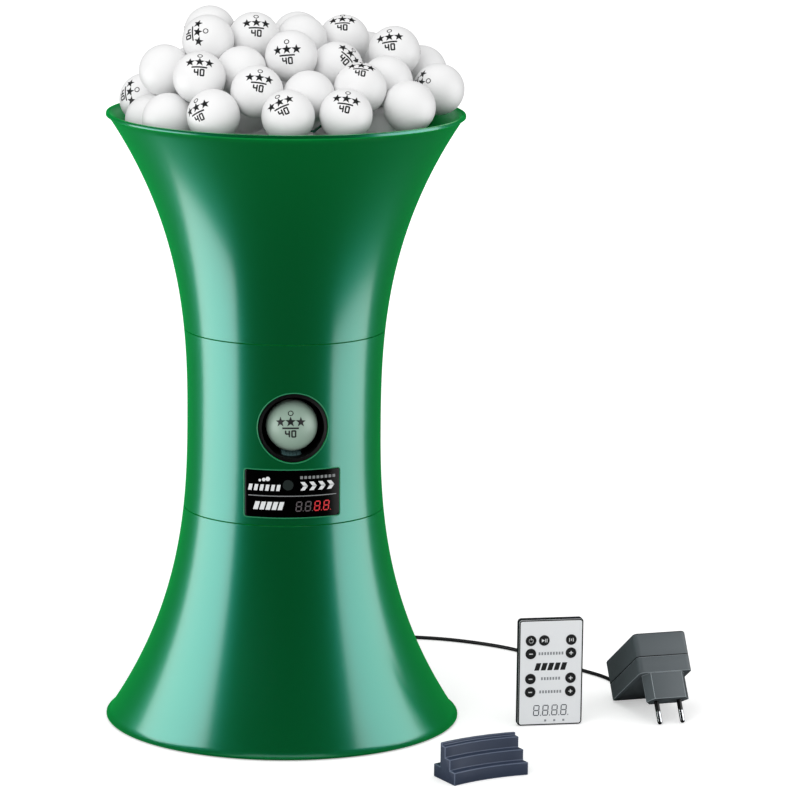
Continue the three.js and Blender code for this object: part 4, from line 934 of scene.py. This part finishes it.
# %% Heap by Geometry Nodes
def heap_group():
    tree, given = node_group(
        "GeometryNodeTree", "balls_on_points",
        [("Geometry", "Geometry", None), ("Radius", "Float", None), ("Seed", "Int", None),
         ("Material", "Material", None)], [("Geometry", "Geometry")])
    ball = add_node(tree, "GeometryNodeMeshUVSphere",
                    {"Segments": 48, "Rings": 24, "Radius": given["Radius"]})
    spin = add_node(tree, "FunctionNodeRandomValue",
                    {"Min": (0, 0, 0), "Max": (2 * math.pi,) * 3, "Seed": given["Seed"]},
                    data_type="FLOAT_VECTOR")
    spread = add_node(tree, "GeometryNodeInstanceOnPoints",
                      {"Points": given["Geometry"], "Instance": ball.outputs["Mesh"],
                       "Rotation": spin.outputs["Value"]})
    real = add_node(tree, "GeometryNodeRealizeInstances", {"Geometry": spread.outputs["Instances"]})
    shade = add_node(tree, "GeometryNodeSetShadeSmooth", {"Geometry": real.outputs["Geometry"]})
    paint = add_node(tree, "GeometryNodeSetMaterial",
                     {"Geometry": shade.outputs["Geometry"], "Material": given["Material"]})
    add_node(tree, "NodeGroupOutput", {"Geometry": paint.outputs["Geometry"]})
    return tree


def set_sockets(modifier, values):
    for item in modifier.node_group.interface.items_tree:
        if item.item_type == "SOCKET" and item.in_out == "INPUT" and item.name in values:
            modifier[item.identifier] = values[item.name]


points = bpy.data.meshes.new("heap_points")
points.from_pydata([tuple(place) for place in places + buried], [], [])
heap = add_object("ball_heap_smooth", points)
grower = heap.modifiers.new("balls", "NODES")
grower.node_group = heap_group()
set_sockets(grower, {"Radius": ball_radius * MM, "Seed": 7, "Material": white_ball})
plain_mesh(heap)
seat(heap, "hopper", "white_ball", "ball_heap")

# %% [markdown]
# Real balls carry a small print. Here it is a plain one: a ring, three stars and the number 40, which is
# the ball's diameter in millimetres. Each print is bent over its ball at the spot where the photograph
# shows one, and the balls behind show theirs to the back and sides.

# %% Prints on the balls
def toward_camera(du, dv):
    return view_right * du + view_up * dv - look * math.sqrt(max(0, 1 - du * du - dv * dv))


def ball_print(bm, centre, radius, out, degrees, size=1.2):
    angle = math.radians(degrees)
    along = view_right * math.cos(angle) + view_up * math.sin(angle)
    along = (along - out * along.dot(out)).normalized()
    across = out.cross(along)

    def place(x, y, depth):
        far = math.hypot(x, y) * size / radius
        flat = (along * x + across * y).normalized() if far else Vector()
        return centre + (out * math.cos(far) + flat * math.sin(far)) * (radius + depth)

    shapes = arc_shapes(0, 6.4, 1.5, 0.55, 0, 360, 14)
    shapes += [star_shape((i - 1) * 6.2, 1.1, 3.3) for i in range(3)]
    shapes += [bar_shape(0, -2.7, 10, 1)]
    for digit, x in (("4", -1.9), ("0", 1.9)):
        shapes += digit_shapes(digit, x, -6.2, 2.2, 3.8, 0.95, 0, -0.42)
    inlay(bm, shapes, place, thickness=0.08, lift=0.04, cut=1.6)


def pixel_of(point):
    ray = point - camera_place
    depth = ray.dot(look)
    x, y = focal_pixels * ray.dot(view_right) / depth, focal_pixels * ray.dot(view_up) / depth
    return photo_size / 2 + x, photo_size / 2 - y


def ball_at(x, y, reach=12):
    near = [place for place in places if math.dist(pixel_of(place), (x, y)) < reach]
    return min(near, key=lambda place: (place - camera_place).length)


seen_prints = [
    (208, 40, -0.42, 0.25, -80), (255, 36, 0.12, 0.45, 2), (345, 40, -0.05, 0.72, 0),
    (394, 52, -0.2, 0.45, 2), (291, 56, -0.15, 0.12, 3), (338, 66, 0.5, 0.45, -42),
    (199, 78, 0.05, 0.48, -2), (256, 92, 0.12, 0.42, -6), (361, 87, 0.05, 0.8, -10),
    (134, 97, -0.6, 0.2, -72), (439, 89, -0.72, 0.2, -75), (213, 113, -0.6, 0.2, 12),
    (288, 115, -0.28, 0.42, 22), (346, 114, 0.02, 0.5, -12),
]
prints = bmesh.new()
for x, y, du, dv, degrees in seen_prints:
    ball_print(prints, ball_at(x, y), ball_radius * MM, toward_camera(du, dv), degrees)
show_level, behind_share, tumble = rim_height - 25 * MM, 0.25, 0.03
chance = random.Random(5)
for place in places:
    out = Vector((place.x - axis_x, place.y - axis_y, 0.02))
    out += Vector([chance.uniform(-tumble, tumble) for _ in range(3)])
    if out.normalized().dot(look) > behind_share and place.z > show_level:
        ball_print(prints, place, ball_radius * MM, out.normalized(), chance.uniform(0, 360))
seat(object_of("ball_prints", prints, [ball_ink]), "hopper", "white_ball")

# %% [markdown]
# The ball in the muzzle sits between the two wheels, one above and one below. It moves out along the
# barrel on its own body. Its white is darker and greener than the heap's: painted shade for the barrel
# round it.

# %% Ball in the muzzle
ball_setback = 61.29 * MM
held_radius = ball_radius * MM
held_centre = at_axis(0, -ball_setback, barrel_height)
held_segments, held_rings, held_sharp = 64, 32, 80
held = bmesh.new()
bmesh.ops.create_uvsphere(held, u_segments=held_segments, v_segments=held_rings, radius=held_radius,
                          matrix=Matrix.Translation(held_centre))
seat(object_of("muzzle_ball_smooth", held, [shaded_held_white], held_sharp), "held_ball", "white_ball",
     "muzzle_ball")
held_print = bmesh.new()
ball_print(held_print, held_centre, held_radius, toward_camera(-0.02, 0.04), 0, size=1.3)
seat(object_of("muzzle_ball_print", held_print, [ball_ink]), "held_ball", "white_ball")

# %% [markdown]
# Behind the muzzle is a black barrel with a side plate for the two motors. Four rooms are cut in it: two
# for the wheels and two for their shafts. The wheels' rubber tyres have fine grooves.

# %% Barrel, plate and wheels
barrel_outer = muzzle_radius - 0.3 * MM
barrel_bore = barrel_outer - 2.7 * MM
barrel_back, barrel_front = 20 * MM, 79 * MM
wheel_setback = 50 * MM
wheel_drop = 34.5 * MM
wheel_radius = 16 * MM
wheel_half = 7.5 * MM
room_half = wheel_half + 0.8 * MM
tyre_inner = wheel_radius - 4.6 * MM
tyre_ribs = 5
plate_half = 1.2 * MM
plate_x = room_half + plate_half
plate_wide, plate_tall, plate_corner = 30.4 * MM, 89.4 * MM, 5 * MM
shaft_room, shaft_reach = 3.4 * MM, 30 * MM


def along_x(drop):
    def place(radius, width, angle):
        return at_axis(width, -wheel_setback + radius * math.sin(angle),
                       barrel_height + drop + radius * math.cos(angle))
    return place


barrel_profile = [(barrel_bore, barrel_back), (barrel_outer, barrel_back), (barrel_outer, barrel_front),
                  (barrel_bore, barrel_front)]
barrel = lathe("launch_barrel", barrel_profile, 96, black_plastic,
               "head", "black_plastic", "launch_frame", place=along_y(barrel_height))
inside = [(middle_line, upper_seam), (middle_line, lower_seam)]
inside += outline(lower_seam, upper_seam, 40, 0.5 * MM)
carve(barrel, "INTERSECT", object_of("inside_tool", turned(inside, shell_sides)))
plate = prism("plate", rounded(plate_wide, plate_tall, plate_corner, 6),
              lambda u, v, w: at_axis(plate_x + w, -wheel_setback + u, barrel_height + v),
              -plate_half, plate_half, [black_plastic])
carve(plate, "DIFFERENCE", rod("plate_bore", barrel_bore, 10 * MM, 90 * MM, 96, along_y(barrel_height)))
carve(barrel, "UNION", plate)
rooms = []
for drop in (wheel_drop, -wheel_drop):
    rooms.append(rod("wheel_room", wheel_radius + 1.6 * MM, -room_half, room_half, 64, along_x(drop)))
    rooms.append(rod("shaft_room", shaft_room, -shaft_reach, shaft_reach, 32, along_x(drop)))
carve(barrel, "DIFFERENCE", *rooms)


def tyre_profile():
    profile = [(tyre_inner, -wheel_half), (wheel_radius - 0.6 * MM, -wheel_half)]
    pitch = (2 * wheel_half - 2 * MM) / tyre_ribs
    rib = [(0.05, 0.25 * MM), (0, 0.5 * MM), (0, pitch - 0.5 * MM), (0.05, pitch - 0.25 * MM), (0.5, pitch)]
    for i in range(tyre_ribs):
        low = -wheel_half + 1 * MM + i * pitch
        profile += [(wheel_radius - dip * MM, low + along) for dip, along in rib]
    return profile + [(wheel_radius - 0.6 * MM, wheel_half), (tyre_inner, wheel_half)]


for side, drop, rubber, paint in (("upper", wheel_drop, red_rubber, "red_rubber"),
                                  ("lower", -wheel_drop, teal_rubber, "teal_rubber")):
    lathe(side + "_tyre_grooved", tyre_profile(), 96, rubber, side + "_wheel", paint, side + "_tyre",
          place=along_x(drop))

# %% [markdown]
# Pieces whose CAD shape is right but whose edges are razor sharp are dressed: the solid is copied, its
# triangles on flat faces are merged, and a small bevel with smooth normals gives it moulded edges. On
# the adapter and the wedge the bevels get a finish of their own as painted light: lighter ones as painted
# highlights on the adapter's base and the wedge, black as painted shade on the adapter's cover.

# %% Dressed pieces
dress_merge = 1e-6
# painted light on the bevels: a painted highlight on the adapter's base and the wedge, painted shade in
# black on the adapter's cover
edge_light_and_shade = {"adapter_cover": black_plastic, "adapter_base": adapter_edge_highlight, "tilt_wedge": wedge_edge_highlight}
dressed_groups = [
    (dark_plastic, "dark_plastic",
     {"stand_cover": 0.3, "feed_deck": 0.2, "feed_gearbox": 0.4, "ball_chute": 0, "chassis": 0.2}),
    (grey_plastic, "grey_plastic", {"feed_rotor": 0.5, "upper_hub": 0.15, "lower_hub": 0.15}),
    (steel, "steel",
     {"feed_motor": 0.3, "upper_motor": 0.3, "lower_motor": 0.3, "coin_cell": 0.2, "adapter_pin_1": 0,
      "adapter_pin_2": 0, "deck_screw_1": 0.15, "deck_screw_2": 0.15, "deck_screw_3": 0.15}),
    (black_plastic, "black_plastic", {"display_digits": 0.2, "power_jack": 0.2, "power_plug": 0.2}),
    (receiver_dark, "black_plastic", {"infrared_receiver": 0.2, "remote_eye": 0.1}),
    (board_green, "circuit_board", {"display_board": 0, "control_board": 0, "remote_board": 0}),
    (case_black, "black_plastic", {"battery_tray": 0.2, "remote_back": 0.5}),
    (adapter_plastic, "adapter_plastic", {"adapter_cover": 0.7, "adapter_base": 0.7}),
    (black_plastic, "adapter_plastic", {"adapter_relief": 0.25}),
    (wedge_rubber, "slate_rubber", {"tilt_wedge": 0.7}),
    (black_rubber, "foot_rubber", {"foot_1": 0.4, "foot_2": 0.4, "foot_3": 0.4, "foot_4": 0.4}),
]


def dress(name, material, paint, bevel):
    source = frame["nodes"][name]
    bm = bmesh.new()
    bm.from_mesh(source.data)
    bm.transform(source.matrix_world)
    bmesh.ops.remove_doubles(bm, verts=bm.verts, dist=dress_merge)
    bmesh.ops.dissolve_limit(bm, angle_limit=math.radians(1), verts=bm.verts, edges=bm.edges)
    piece = object_of(name + "_dressed", bm, [material])
    if bevel:
        edges = piece.modifiers.new("soft_edges", "BEVEL")
        edges.width = bevel
        edges.segments = 2
        edges.limit_method = "ANGLE"
        edges.angle_limit = math.radians(sharp_angle)
        # the bevel faces take the painted highlight or painted shade finish
        if name in edge_light_and_shade:
            piece.data.materials.append(edge_light_and_shade[name])
            edges.material = 1
        plain_mesh(piece)
        smooth(piece.data)
    return seat(piece, body_of(source)[0], paint, name)


dressed = {name: dress(name, material, paint, bevel * MM)
           for material, paint, bevels in dressed_groups for name, bevel in bevels.items()}
print("dressed", len(dressed))

# %% [markdown]
# Two dressed pieces need a last touch. The upper half of each pin wears a black sleeve, which is a second
# finish on the faces above one level. The photograph shows the wedge's two upper steps a little lower
# than the solid has them, so its levels are moved.

# %% Sleeves and steps
sleeve_level = 10 * MM
for number in (1, 2):
    pin = dressed[f"adapter_pin_{number}"]
    bm = bmesh.new()
    bm.from_mesh(pin.data)
    bmesh.ops.bisect_plane(bm, geom=bm.verts[:] + bm.edges[:] + bm.faces[:],
                           plane_co=(0, 0, sleeve_level), plane_no=(0, 0, 1))
    for face in bm.faces:
        face.material_index = int(face.calc_center_median().z > sleeve_level)
    bm.to_mesh(pin.data)
    bm.free()
    pin.data.materials.append(black_plastic)
    smooth(pin.data)
solid_levels = (0, 10.4, 20.8, 31.2, 34.7)
seen_levels = (0, 10.1, 18.4, 26.7, 28.8)
for vert in dressed["tilt_wedge"].data.vertices:
    level = vert.co.z / MM
    k = min(3, sum(level > edge for edge in solid_levels[1:]))
    share = (level - solid_levels[k]) / (solid_levels[k + 1] - solid_levels[k])
    vert.co.z = (seen_levels[k] + share * (seen_levels[k + 1] - seen_levels[k])) * MM
print("wedge's top", seen_levels[-1], "mm")

# %% [markdown]
# The remote control stands upright beside the robot. A thin white face lies on a black back, nine round
# keys come through it, and the face carries plain symbols.

# %% Remote control
remote_x, remote_y, remote_z = 206.5 * MM, -52.4 * MM, 0.05 * MM
remote_yaw = math.radians(3.1)
remote_wide, remote_tall, face_inset, face_corner = 52, 86, 0.5, 2.5
key_radius = 4.1 * MM
key_low, key_proud = -2 * MM, 0.5 * MM
key_places = {
    "power": (9.9, 17), "play": (20.5, 17), "mode": (42.1, 17), "frequency_down": (9.9, 27.6),
    "frequency_up": (42.1, 27.6), "topspin_down": (9.9, 47.9), "topspin_up": (42.1, 47.9),
    "backspin_down": (9.9, 58.6), "backspin_up": (42.1, 58.6),
}


def on_remote(u, v, depth):
    return at_axis(remote_x + u * math.cos(remote_yaw) + depth * math.sin(remote_yaw),
                   remote_y + u * math.sin(remote_yaw) - depth * math.cos(remote_yaw),
                   v + remote_z)


def key_spot(name):
    left, top = key_places[name]
    return left - remote_wide / 2, remote_tall - top


def on_key(name):
    u, v = key_spot(name)

    def place(radius, depth, angle):
        return on_remote(u * MM + radius * math.cos(angle), v * MM + radius * math.sin(angle), depth)
    return place


face_line = rounded(remote_wide - 2 * face_inset, remote_tall - 2 * face_inset, face_corner, 8)
face = prism("remote_face_smooth", face_line,
             lambda x, y, depth: on_remote(x * MM, (y + remote_tall / 2) * MM, depth),
             -1.2 * MM, 0, [remote_white])
carve(face, "DIFFERENCE", *[rod("key_tool", key_radius + 0.2 * MM, -3 * MM, 2 * MM, 48, on_key(name))
                            for name in key_places])
seat(face, "head", "remote_face", "remote_face")
dish = 0.125 * MM
cap_profile = [
    (middle_line, key_low), (key_radius, key_low), (key_radius, key_proud - 0.25 * MM),
    (key_radius - 0.1 * MM, key_proud - 0.08 * MM), (key_radius - 0.35 * MM, key_proud),
    (key_radius - 0.8 * MM, key_proud), (key_radius * 0.5, key_proud - dish),
    (middle_line, key_proud - dish),
]
for name in key_places:
    lathe("key_" + name + "_cap", cap_profile, 48, black_rubber, "button_" + name, "key_rubber",
          "key_" + name, place=on_key(name))

# %% [markdown]
# Each key carries a small white symbol, and the face is printed with rows of small bars, slanted bars, four
# digits and a dark border. All of it is inlay again. A symbol rides on its key's body, so that it sinks
# when the key is pressed, while the print stays with the face.

# %% Symbols on keys and face
def symbol_shapes(name, x, y):
    if name == "power":
        return arc_shapes(x, y, 1.7, 0.5, 125, 415, 18) + [bar_shape(x, y + 1.5, 0.5, 1.9)]
    if name == "play":
        arrow = [(x - 2.1, y - 1.4), (x - 2.1, y + 1.4), (x + 0.2, y)]
        return [arrow] + bar_row(2, x + 0.9, 1.2, y, 0.6, 2.8)
    if name == "mode":
        return bar_row(2, x - 1.5, 3, y, 0.6, 2.8) + [bar_shape(x, y, 0.6, 1.8)]
    level = [bar_shape(x, y, 3, 0.75)]
    if name.endswith("_up"):
        level += [bar_shape(x, y + side * 0.95, 0.75, 1.1) for side in (1, -1)]
    return level


for name in key_places:
    printed_piece("key_" + name + "_symbol", "button_" + name, "key_rubber",
                  lambda x, y, depth: on_remote(x, y, depth + key_proud),
                  [(white_ink, symbol_shapes(name, *key_spot(name)))], thickness=0.3, lift=0.02)
words, numbers = [], []
word_rows = {27.6: 9, 47.9: 7, 58.6: 8}
for down, count in word_rows.items():
    words += bar_row(count, (1 - count) / 2 * 2.3, 2.3, remote_tall - down, 1.4, 2.3)
words += bar_row(3, -3.65, 7.3, remote_tall - 81.9, 1.6, 1.6)
for i in range(4):
    x, level = (i - 1.5) * 7.3, remote_tall - 73.6
    numbers += digit_shapes("8", x, level, 4.1, 8, 0.75, 0.06) + [disc_shape(x + 3.5, level - 4, 0.45, 10)]
dark_lines = bar_row(5, -10.4, 5.2, remote_tall - 38.2, 3.9, 6, 0.3)
border = 0.9
middle, tall, wide = remote_tall / 2, remote_tall / 2 - face_inset, remote_wide / 2 - face_inset
for side in (-1, 1):
    dark_lines += [bar_shape(0, middle + side * (tall - border / 2), 2 * (wide - 2), border),
                   bar_shape(side * (wide - border / 2), middle, border, 2 * (tall - 2))]
for turn_number, (side, end) in enumerate(((1, 1), (-1, 1), (-1, -1), (1, -1))):
    dark_lines += arc_shapes(side * (wide - face_corner), middle + end * (tall - face_corner),
                             face_corner - border / 2, border, 90 * turn_number, 90 * turn_number + 90, 6)
printed_piece("remote_face_marks", "head", "remote_face", on_remote,
              [(ball_ink, dark_lines), (word_ink, words), (slate_ink, numbers)])

# %% [markdown]
# The adapter's lead is one round cord. It leaves the plug at the robot's back, drops to the floor under
# its own weight, lies in a small two-layer coil and runs on to the adapter. Every point below lies on
# the CAD's own route, so the cord stays in its box.

# %% Lead
cord_diameter = 3
cord_floor = cord_diameter / 2 + 0.05
coil_turns, coil_steps, coil_pitch, coil_middle = 6, 24, 3.5, 16.5
coil_x, coil_y = -36, 226
seat_gap = 0.3
adapter_spot = (303.2, -55.1)
adapter_yaw = math.radians(10.5)
adapter_length, adapter_parting, pin_inset, pin_radius = 73.8, 13.2, 8.6, 2
relief_length = 7
pin_drop = 40.5


def coil_point(turn_number):
    half = coil_turns / 2
    spread = half * coil_pitch / 2
    climb = 0.25
    blend = min(1, max(0, (turn_number - half + climb) / (2 * climb)))
    radius = coil_middle - spread + abs(turn_number - half) * coil_pitch
    height = cord_floor + coil_pitch * (3 * blend ** 2 - 2 * blend ** 3)
    angle = 2 * math.pi * turn_number
    return [coil_x + radius * math.sin(angle), coil_y - radius * math.cos(angle), height]


def relief_tip():
    arm = adapter_length - pin_inset
    drop = pin_drop - pin_radius
    tilt = math.atan2(drop, arm) + math.asin(pin_radius / math.hypot(drop, arm))
    reach = adapter_length + relief_length + seat_gap
    offset_y = -(pin_inset * math.cos(tilt) - drop * math.sin(tilt))
    offset_z = adapter_length * math.sin(tilt) + 0.1
    local_y = reach * math.cos(tilt) + adapter_parting * math.sin(tilt) + offset_y
    z = -reach * math.sin(tilt) + adapter_parting * math.cos(tilt) + offset_z
    x = adapter_spot[0] - local_y * math.sin(adapter_yaw)
    y = adapter_spot[1] + local_y * math.cos(adapter_yaw)
    along = math.cos(tilt)
    return (x, y, z), (-along * math.sin(adapter_yaw), along * math.cos(adapter_yaw), -math.sin(tilt))


print("coil", coil_turns, "turns")

# %% [markdown]
# The route is a list of places in millimetres: down from the plug, over the floor to the coil, round it,
# and on to the strain relief, whose tip is worked out from the adapter's tilt on its two pins.

# %% Route of the lead
def on_floor(*points):
    return [(x, y, cord_floor) for x, y in points]


def lead_route():
    out = (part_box("power_plug")[1].y - axis_y) / MM + seat_gap
    jack = jack_height / MM
    start_x, start_y = coil_x - cord_diameter - seat_gap, coil_point(0)[1]
    drop = [(0, out, jack), (0, out + 6, jack), (0, 125, 188), (0, 135, 181), (0, 142, 168),
            (0, 145.5, 148), (0, 147, 120), (0, 148, 90), (0, 149, 60), (0, 150.5, 34), (-2, 154, 16),
            (-7, 161, 6), (-16, 169, 2.6)]
    drop += on_floor((-32, 178), (-50, 184), (-62, 191), (-64, 199), (-58, start_y - 0.8),
                     (start_x - 6, start_y), (start_x, start_y))
    coil = [coil_point(i / coil_steps) for i in range(coil_turns * coil_steps + 1)]
    after, end_y = coil_x + cord_diameter + seat_gap, coil[-1][1]
    lift = cord_floor + coil_pitch
    run = [(after, end_y, lift), (after + 5, end_y, lift - 0.3), (after + 18, end_y + 2, cord_floor + 0.6)]
    run += on_floor((after + 36, end_y + 9), (30, 224), (62, 231), (98, 233), (134.8, 227.6),
                    (171.4, 212.9), (212, 181.1), (238.5, 135.9), (259, 108), (274, 84))
    (tip_x, tip_y, tip_z), (lead_x, lead_y, lead_z) = relief_tip()
    rise = [(24, cord_floor + 0.1), (15, cord_floor + 0.5), (9, cord_floor + 1.7), (4, tip_z + lead_z * 4),
            (0, tip_z)]
    run += [(tip_x + lead_x * reach, tip_y + lead_y * reach, height) for reach, height in rise]
    return [at_axis(x * MM, y * MM, z * MM) for x, y, z in drop + coil + run]


print("route", len(lead_route()), "places")

# %% [markdown]
# A cord never has corners. A Catmull-Rom curve goes through every place of the route and bends smoothly
# between them, and its centripetal kind makes no loops where places lie close together.

# %% Cord along the route
def between(a, b, start, end, at):
    return a * ((end - at) / (end - start)) + b * ((at - start) / (end - start))


def through(points, closest):
    """Points of a centripetal Catmull-Rom curve through the given ones, about closest apart."""
    dense = []
    padded = [points[0] * 2 - points[1]] + points + [points[-1] * 2 - points[-2]]
    for p in zip(padded, padded[1:], padded[2:], padded[3:]):
        t = [0.0]
        for a, b in zip(p, p[1:]):
            t.append(t[-1] + max(1e-6, (b - a).length) ** 0.5)
        count = max(1, math.ceil((p[2] - p[1]).length / closest))
        for step in range(count):
            at = t[1] + (t[2] - t[1]) * step / count
            line = [between(p[k], p[k + 1], t[k], t[k + 1], at) for k in range(3)]
            bend = [between(line[k], line[k + 1], t[k], t[k + 2], at) for k in range(2)]
            dense.append(between(bend[0], bend[1], t[1], t[2], at))
    return dense + [points[-1]]


lead_points = through(lead_route(), 2.5 * MM)
lead = tube("mains_lead", lead_points, cord_diameter / 2 * MM, cord_black, resolution=5)
lead_length = sum((b - a).length for a, b in zip(lead_points, lead_points[1:]))
seat(lead, "head", "cord_black", "lead_drop", "lead_coil", "lead_run")
tuple(lead_points[0])
print("lead", round(lead_length, 3), "m in", len(lead_points), "points")
